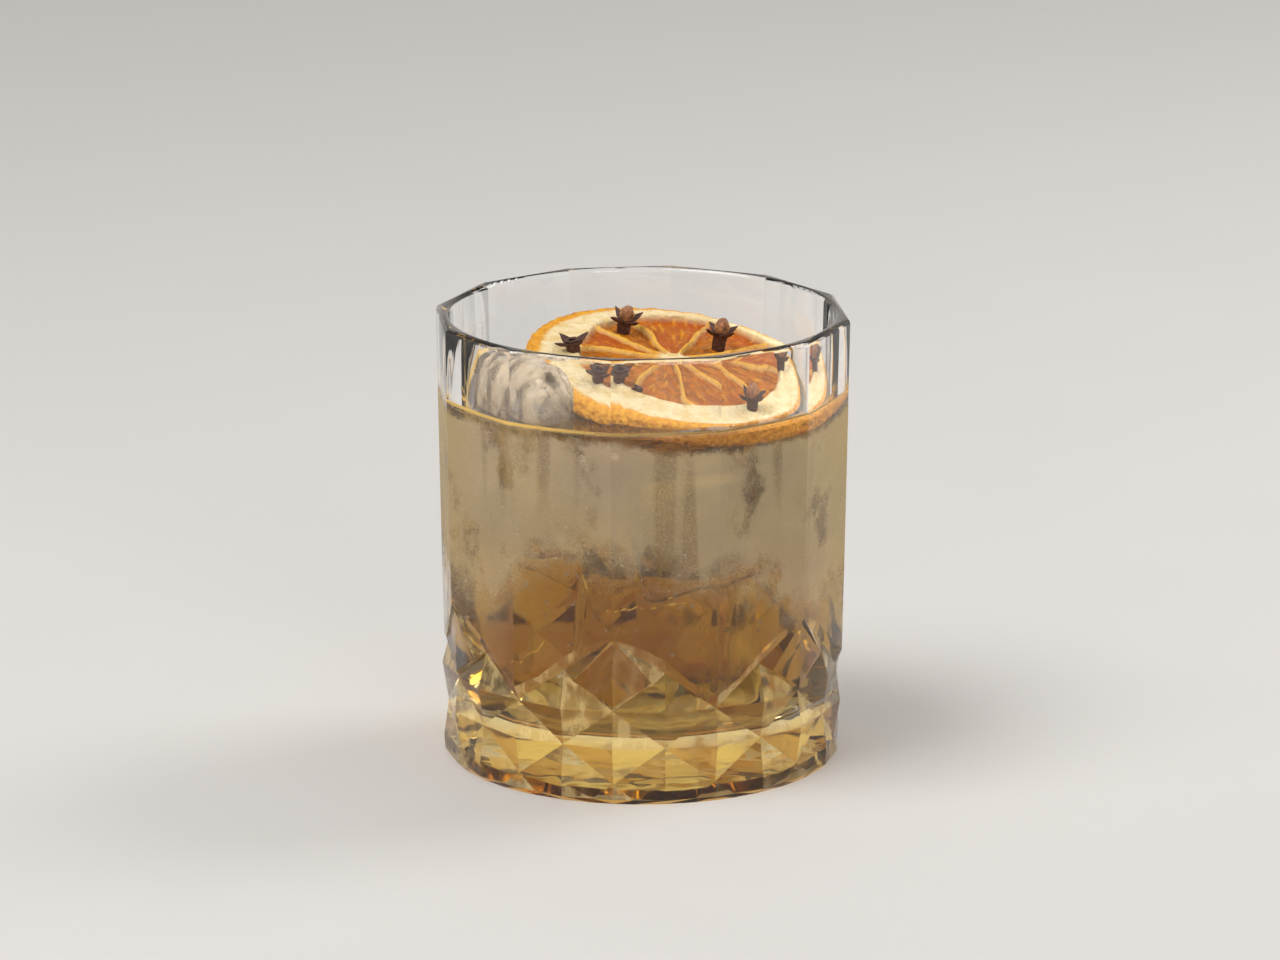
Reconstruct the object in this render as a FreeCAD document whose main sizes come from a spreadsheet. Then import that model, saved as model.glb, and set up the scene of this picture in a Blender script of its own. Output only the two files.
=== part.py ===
import FreeCAD, Part
import math
import os

import Sketcher

Vector = FreeCAD.Vector

doc = FreeCAD.newDocument("rusty_nail")

# ---------------------------------------------------------------- sizes
# Every size below is set by itself. Lengths are in mm, turns and leans in degrees.
# Turns around the glass start at its front (-Y) and grow towards +X.
SIZES = [
    # glass: twelve flat panels outside, round bore inside
    ("glass_height", 90.0),
    ("rim_corner_radius", 41.5),
    ("foot_corner_radius", 40.0),
    ("lip_round", 1.0),
    ("rim_wall", 3.3),
    ("foot_wall", 3.6),
    ("floor_height", 12.0),
    ("floor_round", 6.0),
    ("bore_edge_round", 0.9),
    # foot of the glass
    ("foot_ring_inset", 1.3),
    ("foot_ring_height", 1.0),
    ("foot_land", 6.7),
    ("recess_depth", 1.2),
    ("recess_draft", 1.5),
    # cut band: a lattice of grooves with raised diamonds, in depths below the panel corners
    ("lowest_crossing_height", 4.0),
    ("lattice_step", 7.5),
    ("crossing_depth", 1.2),
    ("upper_crossing_depth", 2.1),
    ("diamond_depth", 0.1),
    ("foot_groove_depth", 0.85),
    ("foot_peak_depth", 0.2),
    ("foot_plain_depth", 0.4),
    ("foot_groove_turn", 6.0),
    ("table_depth", 0.7),
    ("table_side_turn", 11.5),
    ("table_side_drop", 1.7),
    ("table_end_gap", 1.0),
    ("arch_rise", 2.8),
    ("panel_tip_rise", 3.0),
    # drink
    ("drink_level", 74.0),
    ("fit_gap", 0.3),
    # dried orange slice, leaning in the mouth of the glass
    ("slice_radius", 30.3),
    ("slice_thickness", 4.0),
    ("slice_wall_gap", 0.9),
    ("slice_shift_turn", 8.5),
    ("slice_rise", 5.2),
    ("slice_lean", 10.5),
    ("slice_lean_turn", -37.0),
    ("rind_round", 1.2),
    ("flesh_radius", 22.8),
    ("flesh_x", 1.0),
    ("flesh_y", 2.0),
    ("flesh_depth", 0.9),
    ("segment_count", 10),
    ("membrane_width", 1.3),
    ("core_radius", 3.2),
    # one clove
    ("stem_length", 9.5),
    ("stem_tip_radius", 0.8),
    ("stem_top_radius", 1.45),
    ("cup_height", 3.2),
    ("cup_radius", 1.85),
    ("bud_radius", 1.95),
    ("bud_rise", 1.1),
    ("sepal_length", 2.7),
    ("sepal_radius", 0.8),
    ("sepal_tip_radius", 0.25),
    ("sepal_lean", 62.0),
    ("stem_gap", 0.15),
    # where each clove stands on the slice, and how it leans
    ("clove_a_x", -20.3),
    ("clove_a_y", -2.8),
    ("clove_a_lean", 16.0),
    ("clove_a_turn", 180.0),
    ("clove_b_x", -12.9),
    ("clove_b_y", 14.4),
    ("clove_b_lean", 5.0),
    ("clove_b_turn", 0.0),
    ("clove_c_x", 6.5),
    ("clove_c_y", 14.5),
    ("clove_c_lean", 3.0),
    ("clove_c_turn", 60.0),
    ("clove_d_x", -11.2),
    ("clove_d_y", -16.3),
    ("clove_d_lean", 4.0),
    ("clove_d_turn", -90.0),
    ("clove_e_x", 16.8),
    ("clove_e_y", -16.2),
    ("clove_e_lean", 8.0),
    ("clove_e_turn", 150.0),
    ("clove_f_x", 22.6),
    ("clove_f_y", 6.6),
    ("clove_f_lean", 6.0),
    ("clove_f_turn", 180.0),
    # the ice block that stands out of the drink
    ("ice_height", 38.0),
    ("ice_rise", 10.2),
    ("ice_depth", 18.3),
    ("ice_width", 26.0),
    ("ice_wall_gap", 1.0),
    ("ice_turn", 223.0),
    ("ice_round", 4.5),
]

# Each clove's letter in the sizes above, and whether it still has its bud.
CLOVES = [("a", False), ("b", True), ("c", True), ("d", False), ("e", True), ("f", True)]

# The glass has two panels to each lattice column pair, so these counts go together.
PANELS = 12
SECTORS = 6
SECTOR_TURN = 360.0 / SECTORS
PANEL_TURN = 360.0 / PANELS
COLUMN_TURN = PANEL_TURN / 2
LATTICE_ROWS = 5
SEPALS = 4
LIP_STEPS = 3
ARCH_STEPS = 4
LEVEL_TOLERANCE = 1e-4

sheet = doc.addObject("Spreadsheet::Sheet", "sizes")
for row, (alias, value) in enumerate(SIZES, start=1):
    sheet.set("A%d" % row, alias)
    sheet.set("B%d" % row, str(value))
    sheet.setAlias("B%d" % row, alias)
doc.recompute()


def size(alias):
    """One value from the sheet."""
    return float(sheet.get(alias))


def bind(item, **formulas):
    """Tie properties of a document object to formulas on the sheet."""
    for name, formula in formulas.items():
        item.setExpression(name, formula)
    return item


def add(kind, name, **formulas):
    """A Part object whose properties follow the sheet."""
    item = doc.addObject(kind, name)
    item.Label = name
    return bind(item, **formulas)


def place(item, base, axis="0; 0; 1", turn="0", on=None):
    """Set a placement from formulas, on top of another object's placement if one is given."""
    own = ("create(<<placement>>; create(<<vector>>; %s); "
           "create(<<rotation>>; create(<<vector>>; %s); %s))" % (base, axis, turn))
    item.setExpression("Placement", own if on is None else "%s.Placement * %s" % (on.Name, own))
    return item


def cut(name, base, tool):
    item = add("Part::Cut", name)
    item.Base = base
    item.Tool = tool
    return item


def fuse(name, items):
    item = add("Part::MultiFuse", name)
    item.Shapes = items
    return item


def round_edges(name, base, radius, chosen):
    """Round those edges of an object for which chosen(edge) is true."""
    doc.recompute()
    item = add("Part::Fillet", name)
    item.Base = base
    edges = enumerate(base.Shape.Edges, start=1)
    item.Edges = [(number, radius, radius) for number, edge in edges if chosen(edge)]
    return item


# ---------------------------------------------------------------- glass
def spot(turn, radius, height):
    """Point at a turn from the front of the glass."""
    angle = math.radians(turn % 360.0)
    return Vector(radius * math.sin(angle), -radius * math.cos(angle), height)


def corner_radius(height):
    """Distance of the panel corners from the axis: they flare a little upwards."""
    flare = size("rim_corner_radius") - size("foot_corner_radius")
    return size("foot_corner_radius") + flare * height / size("glass_height")


def panel_radius(turn, height):
    """Distance of a flat panel's face from the axis; corners stand at multiples of its turn."""
    from_middle = math.radians(turn % PANEL_TURN - PANEL_TURN / 2)
    middle = corner_radius(height) * math.cos(math.radians(PANEL_TURN / 2))
    return middle / math.cos(from_middle)


def facet(points):
    """Flat face through points, turned so that it looks away from the axis of the glass."""
    normal = (points[1] - points[0]).cross(points[2] - points[0])
    outward = Vector(points[0].x, points[0].y, 0)
    ordered = points if normal.dot(outward) > 0 else points[::-1]
    return Part.Face(Part.makePolygon(ordered + ordered[:1]))


def strip(upper, lower):
    """Triangles that fill the band between two rows of points."""
    faces = []
    for step in range(len(upper) - 1):
        faces.append(facet([upper[step], upper[step + 1], lower[step]]))
        faces.append(facet([upper[step + 1], lower[step + 1], lower[step]]))
    return faces


def foot_row(middle, side, depths, height):
    """Half a sector of the foot's outline: plain, groove, peak, groove, plain."""
    groove = size("foot_groove_turn")
    turns = [0.0, groove, COLUMN_TURN, PANEL_TURN - groove, PANEL_TURN]
    corner = corner_radius(height)
    return [spot(middle + side * turn, corner - depth, height) for turn, depth in zip(turns, depths)]


def half_sector(middle, side):
    """Faces from the foot to the lip between one tall apex and the next panel corner."""
    first = size("lowest_crossing_height")
    rows = [first + size("lattice_step") * row for row in range(LATTICE_ROWS)]
    low, second, third, fourth, apex_height = rows
    crossing = size("crossing_depth")
    peak = size("diamond_depth")

    def at(turn, depth, height):
        return spot(middle + side * turn, corner_radius(height) - depth, height)

    apex = at(0, 0, apex_height)
    waist = at(COLUMN_TURN, size("upper_crossing_depth"), fourth)
    inner_third = at(0, crossing, third)
    outer_third = at(PANEL_TURN, crossing, third)
    between = at(COLUMN_TURN, crossing, second)
    inner_low = at(0, crossing, low)
    outer_low = at(PANEL_TURN, crossing, low)
    inner_peak = at(0, peak, second)
    outer_peak = at(PANEL_TURN, peak, second)
    upper_peak = at(COLUMN_TURN, peak, third)
    lower_peak = at(COLUMN_TURN, peak, low)

    # foot: the lowest diamonds run on into the rounded edge
    plain = size("foot_plain_depth")
    groove = size("foot_groove_depth")
    depths = [plain, groove, size("foot_peak_depth"), groove, plain]
    edge = foot_row(middle, side, depths, size("foot_ring_height"))
    base = foot_row(middle, side, [size("foot_ring_inset") for _ in depths], 0.0)
    faces = strip(edge, base)
    faces.append(facet([inner_low, edge[0], edge[1]]))
    faces.append(facet([inner_low, edge[1], lower_peak]))
    faces.append(facet([lower_peak, edge[1], edge[2]]))
    faces.append(facet([lower_peak, edge[2], edge[3]]))
    faces.append(facet([lower_peak, edge[3], outer_low]))
    faces.append(facet([outer_low, edge[3], edge[4]]))

    # diamonds: four flanks rise from the groove bottoms to each peak
    faces.append(facet([lower_peak, between, inner_low]))
    faces.append(facet([lower_peak, outer_low, between]))
    faces.append(facet([inner_peak, inner_third, between]))
    faces.append(facet([inner_peak, between, inner_low]))
    faces.append(facet([outer_peak, outer_third, between]))
    faces.append(facet([outer_peak, between, outer_low]))
    for start, end in ((waist, inner_third), (inner_third, between), (between, outer_third),
                       (outer_third, waist)):
        faces.append(facet([upper_peak, start, end]))

    # table: a flat-topped diamond under the apex, inside its four grooves
    gap = size("table_end_gap")
    table = size("table_depth")
    table_top = at(0, table, apex_height - gap)
    table_side = at(size("table_side_turn"), table, fourth - size("table_side_drop"))
    table_foot = at(0, table, third + gap)
    faces.append(facet([apex, waist, table_side]))
    faces.append(facet([apex, table_side, table_top]))
    faces.append(facet([waist, inner_third, table_foot]))
    faces.append(facet([waist, table_foot, table_side]))
    faces.append(facet([table_top, table_side, table_foot]))

    # long groove: its upper flank ends in an arched edge on the flat panel
    arch = []
    for step in range(1, ARCH_STEPS):
        share = step / ARCH_STEPS
        turn = PANEL_TURN * share
        straight = apex_height + (third - apex_height) * share
        height = straight + size("arch_rise") * math.sin(math.pi * share)
        arch.append(spot(middle + side * turn, panel_radius(turn, height), height))
    tip = at(PANEL_TURN, 0, third + size("panel_tip_rise"))
    middle_arch = ARCH_STEPS // 2 - 1
    upper_edge = [apex] + arch + [tip]
    for step in range(middle_arch + 1):
        faces.append(facet([waist, upper_edge[step], upper_edge[step + 1]]))
    faces.append(facet([waist, arch[middle_arch], arch[middle_arch + 1]]))
    faces.append(facet([waist, arch[middle_arch + 1], outer_third]))
    faces.append(facet([outer_third, arch[-1], tip]))

    # flat panel up to the lip
    lip_start = size("glass_height") - size("lip_round")
    far_corner = at(PANEL_TURN, 0, lip_start)
    near_corner = at(0, 0, lip_start)
    faces.append(facet(upper_edge + [far_corner, near_corner]))
    return faces


def lip_faces():
    """Rounded lip above the panels, in a few rings, and the flat top that closes the skin."""
    lip = size("lip_round")
    start = size("glass_height") - lip
    rings = []
    for step in range(LIP_STEPS + 1):
        angle = math.radians(90.0 * step / LIP_STEPS)
        radius = corner_radius(start) - lip * (1 - math.cos(angle))
        height = start + lip * math.sin(angle)
        rings.append([spot(PANEL_TURN * corner, radius, height) for corner in range(PANELS + 1)])
    faces = []
    for lower, upper in zip(rings, rings[1:]):
        for corner in range(PANELS):
            faces.append(facet([lower[corner], lower[corner + 1], upper[corner + 1], upper[corner]]))
    faces.append(Part.Face(Part.makePolygon(rings[-1])))
    return faces


def bottom_face():
    groove = size("foot_groove_turn")
    radius = corner_radius(0) - size("foot_ring_inset")
    turns = []
    for panel in range(PANELS):
        start = PANEL_TURN * panel
        turns += [start, start + groove, start + COLUMN_TURN, start + PANEL_TURN - groove]
    points = [spot(turn, radius, 0.0) for turn in turns]
    return Part.Face(Part.makePolygon(points[::-1] + points[-1:]))


def glass_skin():
    """Closed solid of the outside of the glass."""
    faces = lip_faces() + [bottom_face()]
    for sector in range(SECTORS):
        for side in (1, -1):
            faces += half_sector(SECTOR_TURN * sector, side)
    shell = Part.makeShell(faces)
    shell.sewShape()
    return Part.makeSolid(shell)


# Formulas for the bore's radius: it widens evenly from the floor to the rim.
FLOOR_BORE = "(sizes.foot_corner_radius - sizes.foot_wall)"
RIM_BORE = "(sizes.rim_corner_radius - sizes.rim_wall)"


def bore_radius_at(height):
    """Formula for the bore's radius at a height given as a formula."""
    return ("({0} + ({1} - {0}) * ({2} - sizes.floor_height) / (sizes.glass_height - sizes.floor_height))"
            .format(FLOOR_BORE, RIM_BORE, height))


def is_circle_at(height):
    """Test for a round edge that lies level at a height."""
    def test(edge):
        box = edge.BoundBox
        level = max(abs(box.ZMin - height), abs(box.ZMax - height)) < LEVEL_TOLERANCE
        return level and hasattr(edge.Curve, "Radius")
    return test


def make_glass():
    skin = add("Part::Feature", "glass_skin")
    skin.Shape = glass_skin()
    bore = add("Part::Cone", "bore", Radius1=FLOOR_BORE, Radius2=RIM_BORE,
               Height="sizes.glass_height - sizes.floor_height")
    place(bore, "0; 0; sizes.floor_height")
    bore_rounded = round_edges("bore_rounded", bore, size("floor_round"), is_circle_at(size("floor_height")))
    inside = "sizes.foot_corner_radius - sizes.foot_ring_inset - sizes.foot_land"
    recess = add("Part::Cone", "recess", Radius1=inside, Radius2=inside + " - sizes.recess_draft",
                 Height="sizes.recess_depth")
    hollow = cut("glass_hollow", skin, bore_rounded)
    footed = cut("glass_footed", hollow, recess)
    return round_edges("glass", footed, size("bore_edge_round"), is_circle_at(size("glass_height")))


# ---------------------------------------------------------------- orange slice
def origin_part(body, role):
    return next(part for part in body.Origin.OriginFeatures if part.Role == role)


def sketch_on(body, name, height_formula):
    """Level sketch in a body, at a height above its origin."""
    sketch = body.newObject("Sketcher::SketchObject", name)
    sketch.AttachmentSupport = (origin_part(body, "XY_Plane"), [""])
    sketch.MapMode = "FlatFace"
    sketch.setExpression("AttachmentOffset.Base.z", height_formula)
    return sketch


def constrain(sketch, kind, *where):
    sketch.addConstraint(Sketcher.Constraint(kind, *where))


def dimension(sketch, kind, *where, drawn, formula):
    """Add a dimension as drawn, so that the sketch keeps its shape, and tie it to a formula."""
    number = sketch.addConstraint(Sketcher.Constraint(kind, *where, drawn))
    sketch.setExpression("Constraints[%d]" % number, formula)


def outline_sketch(body):
    """Round outline of the slice. The flesh sits off its centre, and the body stands on the flesh."""
    sketch = sketch_on(body, "outline", "0 mm")
    centre = Vector(-size("flesh_x"), -size("flesh_y"), 0)
    sketch.addGeometry(Part.Circle(centre, Vector(0, 0, 1), size("slice_radius")))
    dimension(sketch, "Radius", 0, drawn=size("slice_radius"), formula="sizes.slice_radius")
    dimension(sketch, "DistanceX", 0, 3, -1, 1, drawn=size("flesh_x"), formula="sizes.flesh_x")
    dimension(sketch, "DistanceY", 0, 3, -1, 1, drawn=size("flesh_y"), formula="sizes.flesh_y")
    return sketch


def segment_sketch(body, name, height_formula):
    """One wedge of flesh: two straight membranes and the arc of the pith."""
    sketch = sketch_on(body, name, height_formula)
    radius = size("flesh_radius")
    chord = 2 * radius * math.sin(math.pi / size("segment_count")) - size("membrane_width")
    half = math.asin(chord / 2 / radius)
    tip = Vector(size("core_radius"), 0, 0)
    start = Vector(radius * math.cos(half), -radius * math.sin(half), 0)
    end = Vector(radius * math.cos(half), radius * math.sin(half), 0)
    circle = Part.Circle(Vector(0, 0, 0), Vector(0, 0, 1), radius)
    sketch.addGeometry(Part.LineSegment(tip, start))
    sketch.addGeometry(Part.ArcOfCircle(circle, -half, half))
    sketch.addGeometry(Part.LineSegment(end, tip))
    constrain(sketch, "Coincident", 0, 2, 1, 1)
    constrain(sketch, "Coincident", 1, 2, 2, 1)
    constrain(sketch, "Coincident", 2, 2, 0, 1)
    constrain(sketch, "Coincident", 1, 3, -1, 1)
    constrain(sketch, "PointOnObject", 0, 1, -1)
    constrain(sketch, "Vertical", 1, 1, 1, 2)
    dimension(sketch, "Radius", 1, drawn=radius, formula="sizes.flesh_radius")
    dimension(sketch, "DistanceX", -1, 1, 0, 1, drawn=size("core_radius"), formula="sizes.core_radius")
    opening = "2 * sizes.flesh_radius * sin(180 / sizes.segment_count) - sizes.membrane_width"
    dimension(sketch, "DistanceY", 1, 1, 1, 2, drawn=chord, formula=opening)
    return sketch


def make_slice_body():
    """Disc of dried orange with rounded rind and sunk segments on both faces."""
    body = add("PartDesign::Body", "orange_disc")
    pad = body.newObject("PartDesign::Pad", "disc")
    pad.Profile = outline_sketch(body)
    bind(pad, Length="sizes.slice_thickness")
    doc.recompute()
    rim = body.newObject("PartDesign::Fillet", "rind")
    round_names = ["Edge%d" % number for number, edge in enumerate(pad.Shape.Edges, start=1)
                   if edge.Closed and hasattr(edge.Curve, "Radius")]
    rim.Base = (pad, round_names)
    bind(rim, Radius="sizes.rind_round")
    for face, height, backwards in (("upper", "sizes.slice_thickness", False), ("lower", "0 mm", True)):
        pocket = body.newObject("PartDesign::Pocket", face + "_segment")
        pocket.Profile = segment_sketch(body, face + "_wedge", height)
        pocket.Reversed = backwards
        bind(pocket, Length="sizes.flesh_depth")
        doc.recompute()
        pattern = body.newObject("PartDesign::PolarPattern", face + "_segments")
        pattern.Originals = [pocket]
        pattern.Axis = (origin_part(body, "Z_Axis"), [""])
        pattern.Angle = 360
        bind(pattern, Occurrences="sizes.segment_count")
        body.Tip = pattern
        doc.recompute()
    return body


def slice_frame():
    """Plain marker at the middle of the slice's upper face. The slice floats against the wall."""
    marker = add("Part::Vertex", "slice_frame")
    height = "(sizes.drink_level + sizes.slice_rise)"
    reach = "(%s - sizes.slice_radius - sizes.slice_wall_gap)" % bore_radius_at(height)
    base = "{0} * cos(sizes.slice_shift_turn); {0} * sin(sizes.slice_shift_turn); {1}".format(reach, height)
    axis = "-sin(sizes.slice_lean_turn); cos(sizes.slice_lean_turn); 0"
    return place(marker, base, axis, "sizes.slice_lean")


def room_for_slice(frame):
    """Room that the slice takes out of the ice and the drink: nothing lies over it."""
    disc = add("Part::Cylinder", "slice_room", Radius="sizes.slice_radius + sizes.fit_gap",
               Height="sizes.glass_height")
    return place(disc, "0; 0; -sizes.slice_thickness - sizes.fit_gap", on=frame)


# ---------------------------------------------------------------- cloves
def clove_frame(letter, frame):
    """Marker where a clove's stem enters the slice, leaning as the clove does."""
    marker = add("Part::Vertex", "clove_frame_" + letter)
    axis = "-sin(sizes.clove_{0}_turn); cos(sizes.clove_{0}_turn); 0".format(letter)
    base = "sizes.clove_{0}_x; sizes.clove_{0}_y; 0".format(letter)
    return place(marker, base, axis, "sizes.clove_%s_lean" % letter, on=frame)


def make_stem(name, frame, gap):
    """Tapered stem from its tip up to the slice's face, widened by a gap where asked."""
    stem = add("Part::Cone", name, Radius1="sizes.stem_tip_radius + " + gap,
               Radius2="sizes.stem_top_radius + " + gap, Height="sizes.stem_length + " + gap)
    return place(stem, "0; 0; -sizes.stem_length - " + gap, on=frame)


def make_cup(name, frame, gap):
    """Cup that widens from the stem to the sepals, grown by a gap where asked."""
    cup = add("Part::Cone", name, Radius1="sizes.stem_top_radius + " + gap,
              Radius2="sizes.cup_radius + " + gap, Height="sizes.cup_height")
    return place(cup, "0; 0; 0", on=frame)


def make_clove(number, letter, has_bud, frame):
    """Stem, widening cup, four pointed sepals and, where it has one, the round bud."""
    pieces = [make_stem("stem_" + letter, frame, "0"), make_cup("cup_" + letter, frame, "0")]
    for sepal in range(SEPALS):
        turn = 360.0 * (sepal + 0.5) / SEPALS
        arm = add("Part::Cone", "sepal_%s%d" % (letter, sepal), Radius1="sizes.sepal_radius",
                  Radius2="sizes.sepal_tip_radius", Height="sizes.sepal_length")
        reach = "(sizes.cup_radius - sizes.sepal_radius)"
        base = "{0} * cos({1}); {0} * sin({1}); sizes.cup_height - sizes.sepal_radius".format(reach, turn)
        place(arm, base, "-sin({0}); cos({0}); 0".format(turn), "sizes.sepal_lean", on=frame)
        pieces.append(arm)
    if has_bud:
        bud = add("Part::Sphere", "bud_" + letter, Radius="sizes.bud_radius")
        place(bud, "0; 0; sizes.cup_height + sizes.bud_rise", on=frame)
        pieces.append(bud)
    return fuse("clove_%d" % number, pieces)


# ---------------------------------------------------------------- ice and drink
def ice_block(name, gap):
    """Rounded block that leans against the wall, grown by a gap where asked."""
    block = add("Part::Box", name + "_box", Length="sizes.ice_depth + 2 * " + gap,
                Width="sizes.ice_width + 2 * " + gap, Height="sizes.ice_height + 2 * " + gap)
    top = "(sizes.drink_level + sizes.ice_rise)"
    narrowest = "min(%s; %s)" % (bore_radius_at(top), bore_radius_at("(%s - sizes.ice_height)" % top))
    corner = "(%s - sizes.ice_wall_gap)" % narrowest
    outer = "sqrt({0} * {0} - sizes.ice_width * sizes.ice_width / 4)".format(corner)
    inward = "({0} - sizes.ice_depth - {1})".format(outer, gap)
    half = "(sizes.ice_width / 2 + %s)" % gap
    across = "{0} * cos(sizes.ice_turn) + {1} * sin(sizes.ice_turn)".format(inward, half)
    along = "{0} * sin(sizes.ice_turn) - {1} * cos(sizes.ice_turn)".format(inward, half)
    place(block, "%s; %s; %s - sizes.ice_height - %s" % (across, along, top, gap), turn="sizes.ice_turn")
    return round_edges(name, block, size("ice_round"), lambda edge: True)


def make_drink(rooms):
    """Drink that fills the bore to its level, cut round all that dips into it."""
    gap = "sizes.fit_gap"
    fill = add("Part::Cone", "fill", Radius1=FLOOR_BORE + " - " + gap,
               Radius2=bore_radius_at("sizes.drink_level") + " - " + gap,
               Height="sizes.drink_level - sizes.floor_height - " + gap)
    place(fill, "0; 0; sizes.floor_height + " + gap)
    floor = is_circle_at(size("floor_height") + size("fit_gap"))
    rounded = round_edges("fill_rounded", fill, size("floor_round") - size("fit_gap"), floor)
    return cut("drink", rounded, fuse("drink_rooms", rooms))


def build():
    """All named pieces of the drink, in the order in which they are written."""
    glass = make_glass()
    frame = slice_frame()
    disc = make_slice_body()
    place(disc, "sizes.flesh_x; sizes.flesh_y; -sizes.slice_thickness", on=frame)
    cloves = []
    stem_rooms = []
    cup_rooms = []
    for number, (letter, has_bud) in enumerate(CLOVES, start=1):
        marker = clove_frame(letter, frame)
        cloves.append(make_clove(number, letter, has_bud, marker))
        stem_rooms.append(make_stem("stem_room_" + letter, marker, "sizes.stem_gap"))
        cup_rooms.append(make_cup("cup_room_" + letter, marker, "sizes.stem_gap"))
    orange_slice = cut("orange_slice", disc, fuse("clove_rooms", stem_rooms + cup_rooms))
    slice_room = room_for_slice(frame)
    rooms = [slice_room] + stem_rooms
    ice = cut("ice_block", ice_block("ice_whole", "0"), fuse("ice_rooms", rooms))
    drink = make_drink(rooms + [ice_block("ice_room", "sizes.fit_gap")])
    return [glass, drink, ice, orange_slice] + cloves


def check(pieces):
    for item in doc.Objects:
        if "Invalid" in item.State or "Error" in item.State:
            raise RuntimeError("not built: " + item.Name)
    for piece in pieces:
        shape = piece.Shape
        if shape.isNull() or not shape.isValid() or len(shape.Solids) != 1:
            raise RuntimeError("bad solid: %s" % piece.Label)
        print(piece.Label, round(shape.Volume), "mm3", shape.BoundBox)


pieces = build()
doc.recompute()
check(pieces)
os.makedirs("parts", exist_ok=True)
for piece in pieces:
    piece.Shape.exportStep("parts/%s.step" % piece.Label)
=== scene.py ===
"""Looks of a rusty nail cocktail: cut tumbler, amber drink, ice, dried orange slice and cloves."""

import math

import bmesh
import bpy
import numpy as np
from bpy.props import FloatProperty, FloatVectorProperty, IntProperty, PointerProperty
from mathutils import Euler, Matrix, Vector, noise


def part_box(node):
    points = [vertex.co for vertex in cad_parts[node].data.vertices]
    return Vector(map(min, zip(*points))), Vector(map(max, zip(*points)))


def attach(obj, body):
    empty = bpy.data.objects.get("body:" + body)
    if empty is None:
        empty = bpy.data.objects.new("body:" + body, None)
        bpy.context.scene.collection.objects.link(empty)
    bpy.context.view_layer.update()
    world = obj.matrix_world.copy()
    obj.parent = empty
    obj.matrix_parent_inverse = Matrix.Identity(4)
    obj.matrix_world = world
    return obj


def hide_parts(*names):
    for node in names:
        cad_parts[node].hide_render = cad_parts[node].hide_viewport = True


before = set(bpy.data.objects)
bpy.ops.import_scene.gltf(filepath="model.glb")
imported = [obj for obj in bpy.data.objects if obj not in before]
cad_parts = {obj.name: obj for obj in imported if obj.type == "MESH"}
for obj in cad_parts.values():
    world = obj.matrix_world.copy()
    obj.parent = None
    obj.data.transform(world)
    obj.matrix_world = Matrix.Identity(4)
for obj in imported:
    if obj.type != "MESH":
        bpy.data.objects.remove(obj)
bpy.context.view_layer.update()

bl_info = {
    "name": "Rusty Nail Cocktail",
    "version": (1, 0, 0),
    "blender": (4, 5, 0),
    "location": "3D View > Sidebar > Cocktail",
    "description": "Builds a rusty nail in its cut tumbler round a packed frame",
    "category": "Add Mesh",
}

MM = 0.001
GLASS_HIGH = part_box("glass")[1]
DRINK_LOW, DRINK_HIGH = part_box("drink")
LEVEL = DRINK_HIGH.z
CLOVES = sorted(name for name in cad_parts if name.startswith("clove"))
GLASS_IOR, DRINK_IOR = 1.5, 1.36
WHITE = (1.0, 1.0, 1.0)
ICE_IOR, SUNK_ICE_IOR = 1.31, 0.94
WATER_IOR, BUBBLE_IOR = 1.33, 0.735
# The fog: the way to the glass's sides as the camera sees them, where the fog starts lower and is
# painted with amber light; the way that the slice dips, a bare spot and the depth of its upper edge.
SIDEWAYS = (0.989, 0.146, 0.0)
SLICE_DIP = (0.743, -0.669, 0.0)
BARE_SPOT = (-0.0215, -0.0345, 0.0685)
FOG_FALL = 0.0024
# The dried slice: turns of its skins in degrees, the flesh's middle and the point where the skins meet.
SKIN_TURNS = (5, 42, 80, 121, 156, 186, 216, 250, 288, 325)
FLESH_MIDDLE = Vector((0.001, 0.002))
CORE_MIDDLE = Vector((-0.0008, 0.0034))
# The slice's rim: how far in its rounding reaches, and the turns where it curls up and lifts most.
RIM = 0.0016
CURL_TURN, LIFT_TURN = math.radians(182), math.radians(132)
# The cloves: length past the stem from which a clove has its bud, and the bud's radius.
BUD_RISE = 0.0052
BUD_RADIUS = 0.00192
# The camera: focal length in millimetres, and the height and the side shift of what it aims at.
LENS = 177.9
AIM_HEIGHT, AIM_SHIFT = 0.055419, -0.000421


# ---- sizes and colours
def length(name, description, value, low=0.0):
    """Slider for a size in metres."""
    return FloatProperty(name=name, description=description, default=value, min=low,
                         subtype="DISTANCE", unit="LENGTH", precision=5)


def share(name, description, value, high=1.0):
    """Slider for a plain number from nothing up to a limit."""
    return FloatProperty(name=name, description=description, default=value, min=0.0, max=high)


def colour(name, description, value):
    """Colour swatch."""
    return FloatVectorProperty(name=name, description=description, default=value, size=3,
                               subtype="COLOR", min=0.0, max=1.0)


class TumblerSettings(bpy.types.PropertyGroup):
    edge_round: length("Edge round", "Rounding of the pressed glass's cut edges", 0.00032)
    wave: share("Pressed wave", "Strength of the slow waves that pressing leaves in glass", 0.05)
    # Painted light: the foot's amber stands for the drink's colour that light carries down into it.
    foot_painted_amber: colour("Foot tint", "Amber that the drink throws down into the thick foot", (0.89, 0.60, 0.13))
    foot_wave: share("Foot wave", "Strength of the waves in the thick cut foot", 0.34)
    foot_level: length("Foot level", "Height up to which the foot takes that tint", 0.0125)
    # Painted light and shade of the cut: darker facets are painted in the first tone, brighter ones in the
    # second, and a painted glint is mixed on the brightest.
    cut_painted_shade: colour("Cut shade", "What the darker facets of the cut let through", (0.60, 0.40, 0.20))
    cut_painted_light: colour("Cut light", "Tone of the brighter facets of the cut", (0.99, 0.76, 0.34))
    cut_painted_glint: share("Cut glint", "How strongly the brighter facets catch the light", 0.36)


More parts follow.
